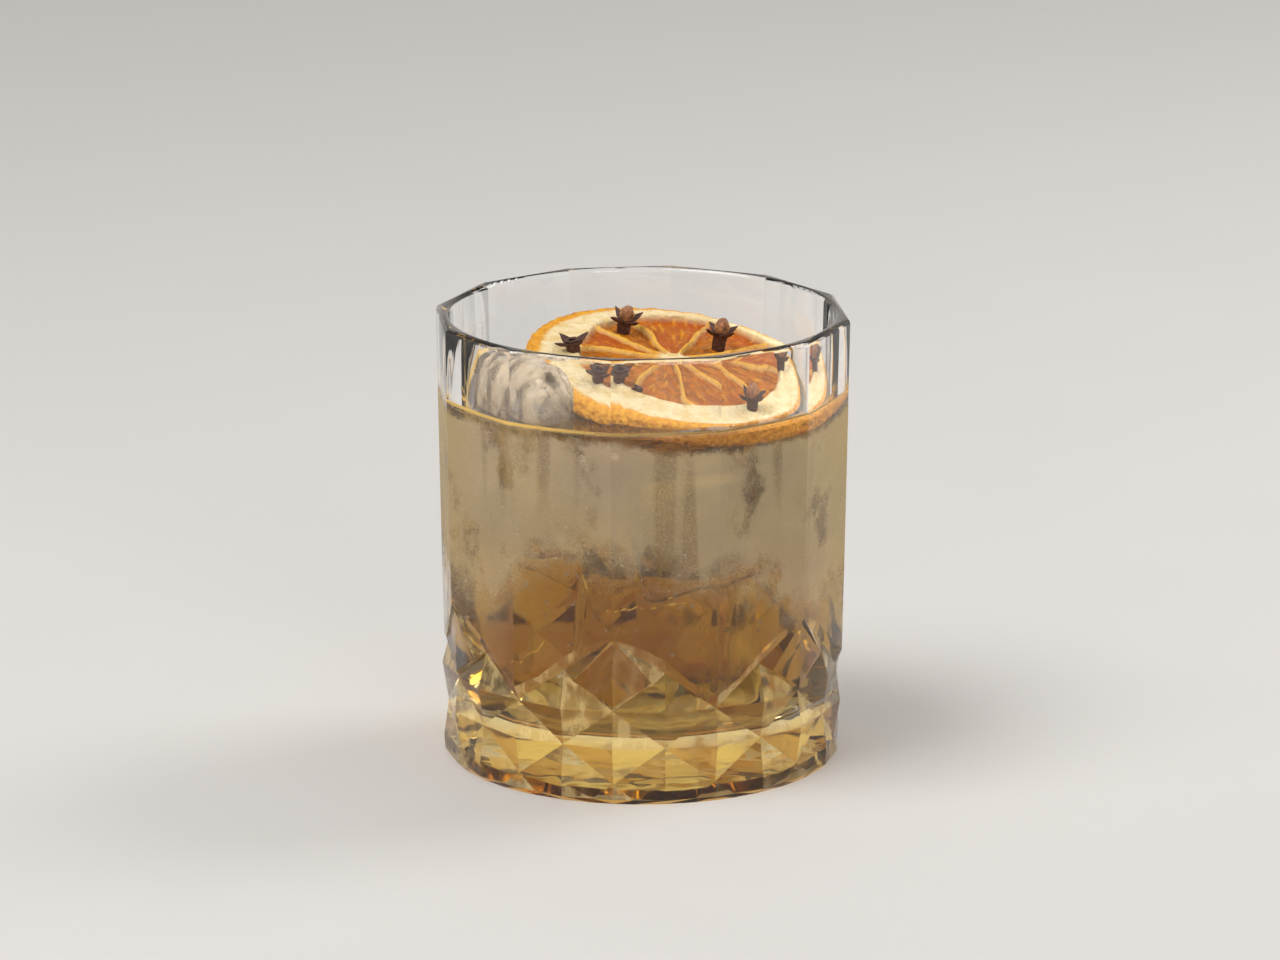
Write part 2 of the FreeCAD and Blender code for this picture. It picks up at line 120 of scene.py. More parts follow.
class FogSettings(bpy.types.PropertyGroup):
    film_gap: length("Film gap", "How far the condensation stands off the glass", 0.00005)
    low_edge: length("Low edge", "Height at which the fog starts", 0.040)
    full_edge: length("Full edge", "Height from which the fog is full", 0.055)
    top_edge: length("Top edge", "Height at which the fog ends", 0.0748)
    cover: share("Cover", "How much the fog hides where it is full", 0.70)
    tone: colour("Tone", "Colour of the fog where it is warm", (0.60, 0.465, 0.265))
    cool_tone: colour("Cool tone", "Colour of the fog where it is cooler", (0.54, 0.425, 0.30))
    # Painted light: this amber is laid on the fog where the camera sees the glass's sides.
    side_painted_amber: colour("Side tone", "Colour of the fog at the glass's sides", (0.62, 0.45, 0.18))


class DrinkSettings(bpy.types.PropertyGroup):
    wall_reach: length("Wall reach", "How far the drink reaches into the glass wall", 0.0001)
    meniscus: length("Meniscus", "Height that the drink climbs at the wall", 0.0011)
    tone: colour("Tone", "Colour that the drink lets through", (0.83, 0.69, 0.12))
    strength: FloatProperty(name="Strength", description="How fast the drink takes up light, per metre",
                            default=85.0, min=0.0)


class IceSettings(bpy.types.PropertyGroup):
    side: length("Cube side", "Side of the ice sunk in the drink", 0.027)
    melt: length("Melt", "How far the melted faces wander", 0.0009)
    cloud: share("Cloud", "How white the trapped air makes the ice's middle", 0.72)


class BeadSettings(bpy.types.PropertyGroup):
    drops: IntProperty(name="Drops", description="Beads of water on the wall", default=420, min=1)
    drop_radius: length("Drop radius", "Radius of the largest bead", 0.00050)
    bubbles: IntProperty(name="Bubbles", description="Air bubbles in the drink", default=90, min=1)
    bubble_radius: length("Bubble radius", "Radius of the largest bubble", 0.00065)


class SliceSettings(bpy.types.PropertyGroup):
    thickness: length("Thickness", "Thickness of the slice", 0.004)
    recess: length("Recess", "How far the dried flesh has sunk", 0.0011)
    membrane: length("Membrane", "Width of the skins between the segments", 0.00068)
    zest: colour("Zest", "Outer peel", (0.80, 0.385, 0.032))
    pith: colour("Pith", "Pale layer under the peel", (0.86, 0.70, 0.42))
    flesh: colour("Flesh", "Dried pulp", (0.53, 0.158, 0.003))
    skin: colour("Skin", "Membranes between the segments", (0.76, 0.40, 0.040))


class CloveSettings(bpy.types.PropertyGroup):
    stem_length: length("Stem length", "Length of the part that goes through the slice", 0.0095)
    dark: colour("Dark", "Stem and sepals", (0.060, 0.018, 0.008))
    bud: colour("Bud", "Dried flower bud", (0.30, 0.125, 0.048))


class StudioSettings(bpy.types.PropertyGroup):
    floor: colour("Floor", "Colour of the studio floor", (0.66, 0.65, 0.64))
    backdrop: colour("Backdrop", "Colour seen behind the floor", (0.80, 0.79, 0.78))
    fill: share("Fill", "Strength of the soft light from all round", 0.34, 5.0)
    turn: FloatProperty(name="Camera turn", description="Turn of the camera round the glass",
                        default=math.radians(8.4), subtype="ANGLE", unit="ROTATION")
    tilt: FloatProperty(name="Camera tilt", description="How far the camera looks down",
                        default=0.262, subtype="ANGLE", unit="ROTATION")
    distance: length("Camera distance", "From the camera to the glass", 1.2616)


# ---- tools
def settle():
    """Leaves edit mode with nothing selected."""
    if bpy.context.object and bpy.context.object.mode != "OBJECT":
        bpy.ops.object.mode_set(mode="OBJECT")
    bpy.ops.object.select_all(action="DESELECT")


def take(piece):
    """Makes one piece the only selected one."""
    settle()
    piece.select_set(True)
    bpy.context.view_layer.objects.active = piece


def edit(piece):
    """Opens a piece in edit mode with nothing selected."""
    take(piece)
    bpy.ops.object.mode_set(mode="EDIT")
    bpy.ops.mesh.select_mode(type="VERT")
    bpy.ops.mesh.select_all(action="DESELECT")


def pick(kind, test):
    """Selects the faces, edges or verts of the edited piece that pass a test."""
    bpy.ops.mesh.select_mode(type={"faces": "FACE", "edges": "EDGE", "verts": "VERT"}[kind])
    bpy.ops.mesh.select_all(action="DESELECT")
    data = bpy.context.object.data
    shape = bmesh.from_edit_mesh(data)
    for item in getattr(shape, kind):
        if test(item):
            item.select_set(True)
    shape.select_flush_mode()
    bmesh.update_edit_mesh(data)


def pick_all():
    """Selects the whole of the edited piece."""
    bpy.ops.mesh.select_all(action="SELECT")


def tidy_normals():
    """Merges doubles and turns every face of the edited piece outwards."""
    pick_all()
    bpy.ops.mesh.remove_doubles(threshold=1e-7)
    bpy.ops.mesh.normals_make_consistent(inside=False)
    bpy.ops.object.mode_set(mode="OBJECT")


def modify(piece, kind, **settings):
    """Adds a modifier to a piece and applies it."""
    take(piece)
    modifier = piece.modifiers.new(kind.title(), kind)
    for name, value in settings.items():
        setattr(modifier, name, value)
    bpy.ops.object.modifier_apply(modifier=modifier.name)


def ground(piece):
    """Puts a piece's place into its mesh, so that its object sits at the origin."""
    take(piece)
    bpy.ops.object.transform_apply(location=True, rotation=True, scale=True)


def smooth(piece, angle):
    """Shades a piece smooth, apart from edges sharper than an angle in degrees."""
    take(piece)
    bpy.ops.object.shade_smooth_by_angle(angle=math.radians(angle))


def add_object(name, data):
    """New object in the scene, of a mesh, a lamp or a camera."""
    piece = bpy.data.objects.new(name, data)
    bpy.context.scene.collection.objects.link(piece)
    return piece


def add_mesh(name, points, edges, faces):
    """New object of points, edges and faces."""
    data = bpy.data.meshes.new(name)
    data.from_pydata(points, edges, faces)
    return add_object(name, data)


def twin(piece, name):
    """Copy of a piece with a mesh and a name of its own."""
    data = piece.data.copy()
    data.name = name
    return add_object(name, data)


def added(name):
    """The piece that an operator just added, named."""
    piece = bpy.context.object
    piece.name = piece.data.name = name
    return piece


def merged_copy(node, name):
    """Copy of a CAD node's mesh with its loose triangles merged."""
    piece = twin(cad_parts[node], name)
    piece.data.materials.clear()
    edit(piece)
    pick_all()
    bpy.ops.mesh.remove_doubles(threshold=1e-6)
    bpy.ops.mesh.dissolve_limited(angle_limit=math.radians(0.4))
    bpy.ops.object.mode_set(mode="OBJECT")
    return piece


def turned_outline(name, outline, steps):
    """Round piece: an outline of (radius, height) points spun round the glass's axis."""
    points = [(radius, 0.0, height) for radius, height in outline]
    piece = add_mesh(name, points, [(i, i + 1) for i in range(len(points) - 1)], [])
    edit(piece)
    pick_all()
    bpy.ops.mesh.spin(steps=steps, angle=math.tau, center=(0, 0, 0), axis=(0, 0, 1))
    tidy_normals()
    return piece


def points_of(piece):
    """Places of a piece's vertices, one in each row."""
    return np.array([vertex.co for vertex in piece.data.vertices])


def toward(turn, reach=1.0, height=0.0):
    """Place at a turn round the glass's axis, a reach away from it and a height up."""
    return Vector((math.cos(turn) * reach, math.sin(turn) * reach, height))


def outward(spot):
    """Level direction from the glass's axis to a place."""
    return Vector((spot.x, spot.y, 0)).normalized()


def sculpt(piece, move):
    """Moves each vertex of a piece to where a function of its place says."""
    moved = np.array([move(Vector(place)) for place in points_of(piece)], np.float32)
    piece.data.vertices.foreach_set("co", moved.ravel())
    piece.data.update()


def wander(place, scale, seed=0.0):
    """Smooth noise from -1 to 1 whose features are about one scale wide."""
    return noise.noise(place / scale + Vector((seed, 3.1 * seed, -1.7 * seed)))


def rough(place, scale, seed=0.0, octaves=4):
    """Noise of several sizes, from -1 to 1."""
    return noise.fractal(place / scale + Vector((seed, 3.1 * seed, -1.7 * seed)), 1.0, 2.1, octaves)


def join(pieces, name):
    """Joins pieces into the first one."""
    take(pieces[0])
    for piece in pieces[1:]:
        piece.select_set(True)
    bpy.ops.object.join()
    pieces[0].name = name
    return pieces[0]


def finish_piece(piece, materials, nodes=()):
    """Gives a piece its finish and ties it to the frame."""
    ground(piece)
    if materials:
        piece.data.materials.clear()
        for material in materials:
            piece.data.materials.append(material)
    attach(piece, "root")
    if nodes:
        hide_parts(*nodes)
    settle()
    return piece


# ---- node tools
class Nodes:
    """Shader nodes of a material, a group or the world, and the place that their patterns follow."""

    def __init__(self, tree, place=None):
        self.tree, self.place = tree, place

    def fill(self, node, values):
        """Fills or links a node's inputs, by name or number."""
        for key, value in values.items():
            socket = node.inputs[key]
            if isinstance(value, bpy.types.NodeSocket):
                self.tree.links.new(value, socket)
            elif socket.type == "RGBA" and len(value) == 3:
                socket.default_value = (*value, 1.0)
            else:
                socket.default_value = value
        return node

    def add(self, kind, values=None, **settings):
        """Adds a shader node, sets it and fills its inputs."""
        node = self.tree.nodes.new("ShaderNode" + kind)
        for name, value in settings.items():
            setattr(node, name, value)
        return self.fill(node, values or {})

    def axis(self, name):
        """One coordinate of the place."""
        return self.add("SeparateXYZ", {0: self.place}).outputs[name]

    def measure(self, operation, other=(0.0, 0.0, 0.0)):
        """Number that comes from the place and another vector."""
        return self.add("VectorMath", {0: self.place, 1: other}, operation=operation).outputs["Value"]

    def attribute(self, name):
        """Value that the mesh holds under a name."""
        return self.add("Attribute", attribute_name=name).outputs["Fac"]

    def math(self, operation, *values):
        """One step of arithmetic."""
        return self.add("Math", dict(enumerate(values)), operation=operation).outputs[0]

    def times(self, first, second, plus=None):
        """Product of two masks, with a third added if asked."""
        if plus is None:
            return self.math("MULTIPLY", first, second)
        return self.math("MULTIPLY_ADD", first, second, plus)

    def ramp(self, factor, low, high, start=0.0, end=1.0):
        """Smooth rise of a mask between two values of its factor."""
        values = {"Value": factor, "From Min": low, "From Max": high, "To Min": start, "To Max": end}
        return self.add("MapRange", values, interpolation_type="SMOOTHSTEP").outputs["Result"]

    def grain(self, scale, detail=3.0, roughness=0.55, stretch=None):
        """Noise value of a number of features per metre, stretched along an axis if asked."""
        place = self.place
        if stretch:
            place = self.add("Mapping", {"Vector": place, "Scale": stretch}).outputs[0]
        values = {"Vector": place, "Scale": scale, "Detail": detail, "Roughness": roughness}
        return self.add("TexNoise", values).outputs["Fac"]

    def cells(self, scale):
        """Distance from the middles of scattered cells."""
        return self.add("TexVoronoi", {"Vector": self.place, "Scale": scale}).outputs["Distance"]

    def blend(self, mask, first, second, kind="MIX"):
        """Mix of two colours by a mask."""
        values = {0: mask, 6: first, 7: second}
        return self.add("Mix", values, data_type="RGBA", blend_type=kind).outputs[2]

    def between(self, mask, first, second):
        """Mix of two numbers by a mask."""
        return self.add("Mix", {0: mask, 2: first, 3: second}).outputs[0]

    def bump(self, height, strength, distance, **normal):
        """Bump from a height mask, on top of another Normal if one is given."""
        values = {"Height": height, "Strength": strength, "Distance": distance, **normal}
        return self.add("Bump", values).outputs[0]

    def group(self, group, values):
        """Outputs of a node group placed here, with its patterns at the same place."""
        return self.add("Group", {"Place": self.place, **values}, node_tree=group).outputs

    def mix(self, mask, first, second):
        """Mix of two shaders by a mask."""
        return self.add("MixShader", {0: mask, 1: first, 2: second}).outputs[0]

    def principled(self, tint, roughness, **more):
        """Principled shader; further inputs are named with _ for each space."""
        values = {"Base Color": tint, "Roughness": roughness}
        values.update({key.replace("_", " "): value for key, value in more.items()})
        return self.add("BsdfPrincipled", values).outputs[0]


class Look(Nodes):
    """Material in the making, whose patterns follow Object coordinates."""

    def __init__(self, name):
        self.material = bpy.data.materials.new(name)
        self.material.use_nodes = True
        super().__init__(self.material.node_tree)
        self.tree.nodes.clear()
        self.out = self.add("OutputMaterial")
        self.place = self.add("TexCoord").outputs["Object"]

    def finish(self, shader):
        """The material, ended in a shader."""
        self.fill(self.out, {"Surface": shader})
        return self.material

    def finish_clear(self, shader):
        """The same for a clear shader: lamps shine through it, so that what is inside is lit."""
        shadow = self.add("LightPath").outputs["Is Shadow Ray"]
        clear = self.add("BsdfTransparent", {"Color": WHITE}).outputs[0]
        return self.finish(self.mix(shadow, shader, clear))


def new_group(name, inputs, outputs):
    """Shader node group with named inputs and outputs, whose patterns follow its Place."""
    tree = bpy.data.node_groups.new(name, "ShaderNodeTree")
    tree.interface.new_socket("Place", in_out="INPUT", socket_type="NodeSocketVector")
    for label, value in inputs.items():
        kind = "NodeSocketFloat" if isinstance(value, float) else "NodeSocketColor"
        tree.interface.new_socket(label, in_out="INPUT", socket_type=kind).default_value = value
    for label, kind in outputs.items():
        tree.interface.new_socket(label, in_out="OUTPUT", socket_type=kind)
    given = tree.nodes.new("NodeGroupInput").outputs
    return Nodes(tree, given["Place"]), given, tree.nodes.new("NodeGroupOutput")


# ---- node groups
def fog_group():
    """Where condensation covers the glass: full between its edges, patchy, and run clear in streaks; and
    where the camera sees the glass's sides, which get painted amber light.
    """
    found = bpy.data.node_groups.get("Fog Cover")
    if found:
        return found
    nodes, given, result = new_group(
        "Fog Cover", {"Low Edge": 0.036, "Full Edge": 0.052, "Top Edge": 0.0735},
        dict.fromkeys(("Cover", "Drops", "Aside"), "NodeSocketFloat"))
    height = nodes.axis("Z")
    waves = nodes.math("SUBTRACT", nodes.grain(26.0, 2.0, stretch=(1, 1, 0.3)), 0.5)
    fine = nodes.math("SUBTRACT", nodes.grain(240.0, 4.0), 0.5)
    ragged = nodes.times(fine, 0.014, nodes.times(waves, 0.024, height))
    aside = nodes.math("ABSOLUTE", nodes.measure("DOT_PRODUCT", SIDEWAYS))
    ragged = nodes.times(nodes.ramp(aside, 0.014, 0.034), 0.011, ragged)
    rise = nodes.ramp(ragged, given["Low Edge"], given["Full Edge"])
    lifted = nodes.times(nodes.ramp(nodes.measure("DOT_PRODUCT", SLICE_DIP), 0.027, 0.035), FOG_FALL, height)
    fall_start = nodes.math("SUBTRACT", given["Top Edge"], FOG_FALL)
    fall = nodes.ramp(nodes.times(fine, 0.004, lifted), fall_start, given["Top Edge"], 1.0, 0.0)
    blotches = nodes.grain(85.0, 5.0, 0.6, stretch=(1, 1, 0.8))
    bare = nodes.ramp(nodes.measure("DISTANCE", BARE_SPOT), 0.011, 0.003)
    patches = nodes.ramp(nodes.times(bare, 0.13, blotches), 0.54, 0.74)
    streaks = nodes.ramp(nodes.grain(150.0, 1.0, stretch=(1, 1, 0.07)), 0.60, 0.70)
    thin = nodes.math("SUBTRACT", 1.0, nodes.times(streaks, 0.25, nodes.times(patches, 0.60)))
    # Painted light: the last output marks the glass's sides as the camera sees them, where the fog is painted
    # amber.
    nodes.fill(result, {"Cover": nodes.times(nodes.times(rise, fall), thin),
                        "Drops": nodes.ramp(nodes.cells(1500.0), 0.42, 0.16),
                        "Aside": nodes.ramp(aside, 0.029, 0.041)})
    return nodes.tree


def mottle_group():
    """Slow and fast variation of one colour, with a height to bump by."""
    found = bpy.data.node_groups.get("Mottle")
    if found:
        return found
    nodes, given, result = new_group(
        "Mottle", {"Scale": 200.0, "Light": (0.8, 0.8, 0.8, 1.0), "Dark": (0.4, 0.4, 0.4, 1.0),
                   "Low": 0.35, "High": 0.65},
        {"Color": "NodeSocketColor", "Height": "NodeSocketFloat"})
    slow = nodes.add("TexNoise", {"Vector": given["Place"], "Scale": given["Scale"], "Detail": 5.0})
    mask = nodes.add("MapRange", {"Value": slow.outputs["Fac"], "From Min": given["Low"],
                                  "From Max": given["High"]}).outputs["Result"]
    nodes.fill(result, {"Color": nodes.blend(mask, given["Dark"], given["Light"]), "Height": mask})
    return nodes.tree


# ---- materials
def fog_cover(look, fog):
    """Outputs of the fog group with the fog's edges."""
    return look.group(fog_group(), {"Low Edge": fog.low_edge, "Full Edge": fog.full_edge,
                                    "Top Edge": fog.top_edge})


def mottled(look, scale, light, dark, low, high):
    """Outputs of the mottle group between two colours."""
    return look.group(mottle_group(), {"Scale": scale, "Light": light, "Dark": dark,
                                       "Low": low, "High": high})


def tinted(tone, shares):
    """A tone with each channel at its own share, never above full."""
    return tuple(min(1.0, channel * part) for channel, part in zip(tone, shares))


def glass_finish(name, settings, fog=None):
    """Clear pressed glass: slow waves, faint smears, painted light and shade on the facets of the cut with a
    painted glint on the brightest, painted drink amber in the foot, and fog where asked.
    """
    look = Look(name)
    waves, ripples = look.grain(55.0, 1.0), look.grain(130.0, 1.0)
    roughness = look.ramp(look.grain(130.0, 4.0, stretch=(1, 1, 0.25)), 0.55, 0.8, 0.0, 0.05)
    height = look.axis("Z")
    if fog:
        haze = look.times(look.ramp(height, 0.060, 0.050),
                          look.ramp(look.grain(60.0, 2.0), 0.35, 0.65, 0.05, 0.13))
        misted = look.times(fog_cover(look, fog)["Cover"], 0.26, roughness)
        roughness = look.math("MAXIMUM", misted, haze)
    # Painted light: below the foot level the glass lets amber through, for the drink's colour that light
    # carries down into the foot.
    low = look.ramp(look.times(waves, 0.004, height), settings.foot_level + 0.005, settings.foot_level)
    cut = look.ramp(height, 0.036, 0.030)
    facet = look.attribute("facet")
    # Painted shade and light: the facet tone darkens some facets of the cut and lightens others.
    painted_shade_facets = look.times(look.ramp(facet, 0.47, 0.28), cut)
    lit = look.times(look.ramp(facet, 0.60, 0.78), cut)
    tint = look.blend(low, look.blend(waves, (0.985, 0.985, 0.975), WHITE), settings.foot_painted_amber)
    tint = look.blend(painted_shade_facets, tint, settings.cut_painted_shade, "MULTIPLY")
    tint = look.blend(look.times(lit, 0.5), tint, settings.cut_painted_light)
    relief = look.bump(look.times(ripples, cut), settings.foot_wave, 0.0010,
                       Normal=look.bump(waves, settings.wave, 0.0008))
    clear = look.principled(tint, roughness, IOR=GLASS_IOR, Transmission_Weight=1.0, Normal=relief)
    # Painted glint: a lit, opaque amber layer with fine lines is mixed on the brightest facets, where real
    # ones would catch the light.
    lines = look.ramp(look.grain(420.0, 3.0, stretch=(1, 1, 0.5)), 0.40, 0.62, 0.35, 1.0)
    painted_glint_shader = look.principled(look.blend(lines, (0.60, 0.36, 0.10), settings.cut_painted_light), 0.28)
    glint = look.times(look.times(lit, lines), settings.cut_painted_glint)
    return look.finish_clear(look.mix(glint, clear, painted_glint_shader))


def wetted_finish():
    """Inner wall where drink lies on glass: nearly unseen, because the drink's own face bends the light."""
    look = Look("Wetted Bore")
    film = look.grain(160.0, 2.0)
    return look.finish(look.principled(
        look.blend(film, (0.95, 0.90, 0.80), WHITE), look.ramp(film, 0.3, 0.7, 0.02, 0.08),
        Alpha=look.ramp(film, 0.3, 0.7, 0.0, 0.004)))


def fog_finish(settings):
    """Film of fine droplets: pale, soft, clear wherever the fog is thin, and painted amber at the glass's
    sides for the light there.
    """
    look = Look("Condensation")
    made = fog_cover(look, settings)
    tint = look.blend(look.ramp(look.grain(24.0, 2.0), 0.36, 0.64), settings.tone, settings.cool_tone)
    tint = look.blend(look.ramp(look.grain(70.0, 3.0), 0.3, 0.7, 0.0, 0.22), tint, (0.20, 0.14, 0.07))
    # Painted light: amber on the fog at the glass's sides as the camera sees them.
    tint = look.blend(look.times(made["Aside"], 0.65), tint, settings.side_painted_amber)
    thinness = look.math("SUBTRACT", 1.05, made["Cover"])
    speckle = look.times(look.times(made["Drops"], 1.3, -0.65), thinness, 1.0)
    alpha = look.times(speckle, look.times(made["Cover"], settings.cover))
    return look.finish(look.principled(
        tint, look.times(made["Drops"], -0.25, 0.6), Alpha=alpha,
        Normal=look.bump(made["Drops"], 0.25, 0.0002)))


def drink_finish(settings):
    """Amber spirit: clear, with faint streaks where melting ice thins it and a painted highlight on the
    raised edge where it climbs the wall.
    """
    look = Look("Amber Drink")
    swirl = look.grain(90.0, 2.0, stretch=(1, 1, 0.5))
    tint = look.blend(swirl, (1.0, 0.985, 0.95), WHITE)
    roughness = look.ramp(swirl, 0.4, 0.8, 0.0, 0.02)
    relief = look.bump(swirl, 0.04, 0.0008)
    side, top = (look.principled(tint, roughness, IOR=bend, Transmission_Weight=1.0, Normal=relief)
                 for bend in (DRINK_IOR / GLASS_IOR, DRINK_IOR))
    height = look.axis("Z")
    clear = look.mix(look.ramp(height, LEVEL - 0.00025, LEVEL - 0.0001), side, top)
    # Painted highlight: an opaque yellow-amber shader on the raised edge at the wall, mixed in more strongly
    # towards negative X.
    painted_edge_light = look.principled(look.blend(swirl, (0.80, 0.46, 0.07), (0.95, 0.66, 0.16)), 0.25)
    climb = look.times(look.ramp(look.axis("X"), 0.012, -0.022, 0.22, 0.66),
                       look.ramp(height, LEVEL + 0.00015, LEVEL + 0.0007))
    body = look.add("VolumeAbsorption", {"Color": settings.tone, "Density": settings.strength})
    look.fill(look.out, {"Volume": body.outputs[0]})
    return look.finish_clear(look.mix(climb, clear, painted_edge_light))


def ice_finish(name, bend):
    """Wet ice: clear, wavy, with fine frosting in patches."""
    look = Look(name)
    dents = look.grain(140.0, 3.0)
    frost = look.ramp(look.grain(230.0, 5.0), 0.45, 0.75, 0.04, 0.36)
    return look.finish_clear(look.principled(
        look.blend(dents, (0.97, 0.98, 0.98), WHITE), frost, IOR=bend, Transmission_Weight=1.0,
        Normal=look.bump(dents, 0.35, 0.0012)))


def cloud_finish(settings):
    """Trapped air in ice: wisps with clear gaps, frosty above the drink, and painted darker and amber below
    its level for the shade and amber light that the drink throws on it.
    """
    look = Look("Ice Cloud")
    wisps = look.grain(210.0, 6.0, 0.65, stretch=(1, 1, 0.55))
    above = look.ramp(look.axis("Z"), LEVEL - 0.003, LEVEL + 0.001)
    # Painted shade: below the drink's level the cloud is darker and amber.
    painted_drink_shade = look.blend(wisps, (0.29, 0.190, 0.068), (0.52, 0.375, 0.155))
    frosty = look.blend(wisps, (0.41, 0.315, 0.205), (0.68, 0.545, 0.385))
    return look.finish(look.principled(
        look.blend(above, painted_drink_shade, frosty), look.ramp(wisps, 0.3, 0.7, 0.35, 0.7),
        Alpha=look.times(look.ramp(wisps, 0.30, 0.58), settings.cloud),
        Normal=look.bump(wisps, 0.35, 0.001)))


def crack_glint_finish():
    """Flaw in ice with a painted glint: a bright, broken thread of pale amber."""
    look = Look("Ice Crack")
    broken = look.grain(900.0, 3.0)
    return look.finish(look.principled(
        look.blend(broken, (0.74, 0.50, 0.10), (0.90, 0.70, 0.26)), look.ramp(broken, 0.3, 0.7, 0.2, 0.5),
        Alpha=look.ramp(broken, 0.42, 0.58, 0.04, 0.72)))


def water_finish(name, bend):
    """Clear bead, a little uneven."""
    look = Look(name)
    grime = look.grain(900.0, 2.0)
    return look.finish_clear(look.principled(
        look.blend(grime, (0.97, 0.96, 0.94), WHITE), look.ramp(grime, 0.3, 0.8, 0.0, 0.08),
        IOR=bend, Transmission_Weight=1.0, Normal=look.bump(grime, 0.05, 0.0001)))


def orange_finish(settings):
    """Dried orange: bumpy zest, chalky pith, glossy sunken flesh with lighter fibres, partly their own tone
    and partly a painted highlight, and tough yellow skins.
    """
    look = Look("Dried Orange")
    zone = look.add("Attribute", attribute_name="zone").outputs["Color"]
    in_flesh, in_skin, in_zest = look.add("SeparateColor", {0: zone}).outputs
    fibres = look.attribute("fibre")
    flesh, pith, zest = (mottled(look, scale, tone, tinted(tone, shares), low, high)
                         for scale, tone, shares, low, high in (
                             (420.0, settings.flesh, (0.62, 0.62, 0.62), 0.38, 0.62),
                             (380.0, settings.pith, (0.86, 0.76, 0.52), 0.30, 0.58),
                             (900.0, settings.zest, (0.80, 0.66, 0.55), 0.36, 0.60)))
    aged = look.blend(look.attribute("age"), flesh["Color"], (0.43, 0.085, 0.007))
    # Lighter fibres: partly the pulp's own tone, partly a painted highlight on the raised strands.
    pulp = look.blend(look.ramp(fibres, 0.50, 0.95), aged, (0.70, 0.29, 0.012))
    skin = look.blend(look.grain(700.0), settings.skin, tinted(settings.skin, (1.2, 1.2, 1.2)))
    tint = look.blend(in_zest, pith["Color"], zest["Color"])
    tint = look.blend(in_skin, look.blend(in_flesh, tint, pulp), skin)
    dry = look.math("ADD", pith["Height"], look.cells(1100.0))
    relief = look.between(in_flesh, dry, look.times(fibres, 0.6, flesh["Height"]))
    return look.finish(look.principled(
        tint, look.between(in_flesh, 0.62, 0.40), Specular_IOR_Level=0.22,
        Normal=look.bump(relief, 0.70, 0.0005)))


def clove_finish(name, tone, scale):
    """Dried clove: wrinkled, dull, a little oily."""
    look = Look(name)
    made = mottled(look, scale, tinted(tone, (1.7, 1.7, 1.7)), tinted(tone, (0.55, 0.55, 0.55)), 0.32, 0.68)
    return look.finish(look.principled(
        made["Color"], look.ramp(made["Height"], 0.0, 1.0, 0.62, 0.42),
        Normal=look.bump(made["Height"], 0.6, 0.0003)))


# ---- the frame's own places
def slice_place():
    """Matrix of the slice: its upper face's middle, tilted as the CAD node is."""
    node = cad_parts["orange_slice"]
    normal = Vector()
    for face in node.data.polygons:
        if face.normal.z > 0.97:
            normal += face.normal * face.area
    turn = Vector((0, 0, 1)).rotation_difference(normal.normalized()).to_matrix()
    local = points_of(node) @ np.array(turn)
    low, high = local.min(0), local.max(0)
    middle = turn @ Vector(((low[0] + high[0]) / 2, (low[1] + high[1]) / 2, high[2]))
    return Matrix.Translation(middle) @ turn.to_4x4(), (high[0] - low[0]) / 2


def clove_place(node, stem_length):
    """Matrix of a clove where its stem meets the slice, the turn of its sepals, and its length."""
    places = points_of(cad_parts[node])
    middle = places.mean(0)
    axis = np.linalg.svd(places - middle, full_matrices=False)[2][0]
    axis = axis if axis[2] > 0 else -axis
    along = (places - middle) @ axis
    tip = middle + axis * along.min()
    turn = Vector((0, 0, 1)).rotation_difference(Vector(axis)).to_matrix()
    across = (places - tip) @ np.array(turn)
    far = across[np.hypot(across[:, 0], across[:, 1]).argmax()]
    foot = Vector(tip + axis * stem_length)
    return (Matrix.Translation(foot) @ turn.to_4x4(), math.atan2(far[1], far[0]),
            along.max() - along.min())


def bore_line():
    """Bore radius at the drink's level and its growth with height, from the CAD drink that fills it."""
    places = points_of(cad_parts["drink"])
    radii = np.hypot(places[:, 0], places[:, 1])
    low = radii[np.abs(places[:, 2] - DRINK_LOW.z - 0.008) < 0.004].max()
    high = radii[places[:, 2] > LEVEL - 0.001].max()
    return high + 0.0003, (high - low) / (LEVEL - DRINK_LOW.z - 0.008)


BORE_AT_LEVEL, BORE_GROWTH = bore_line()


def bore_radius(height):
    """Radius of the glass's bore at a height."""
    return BORE_AT_LEVEL + (height - LEVEL) * BORE_GROWTH


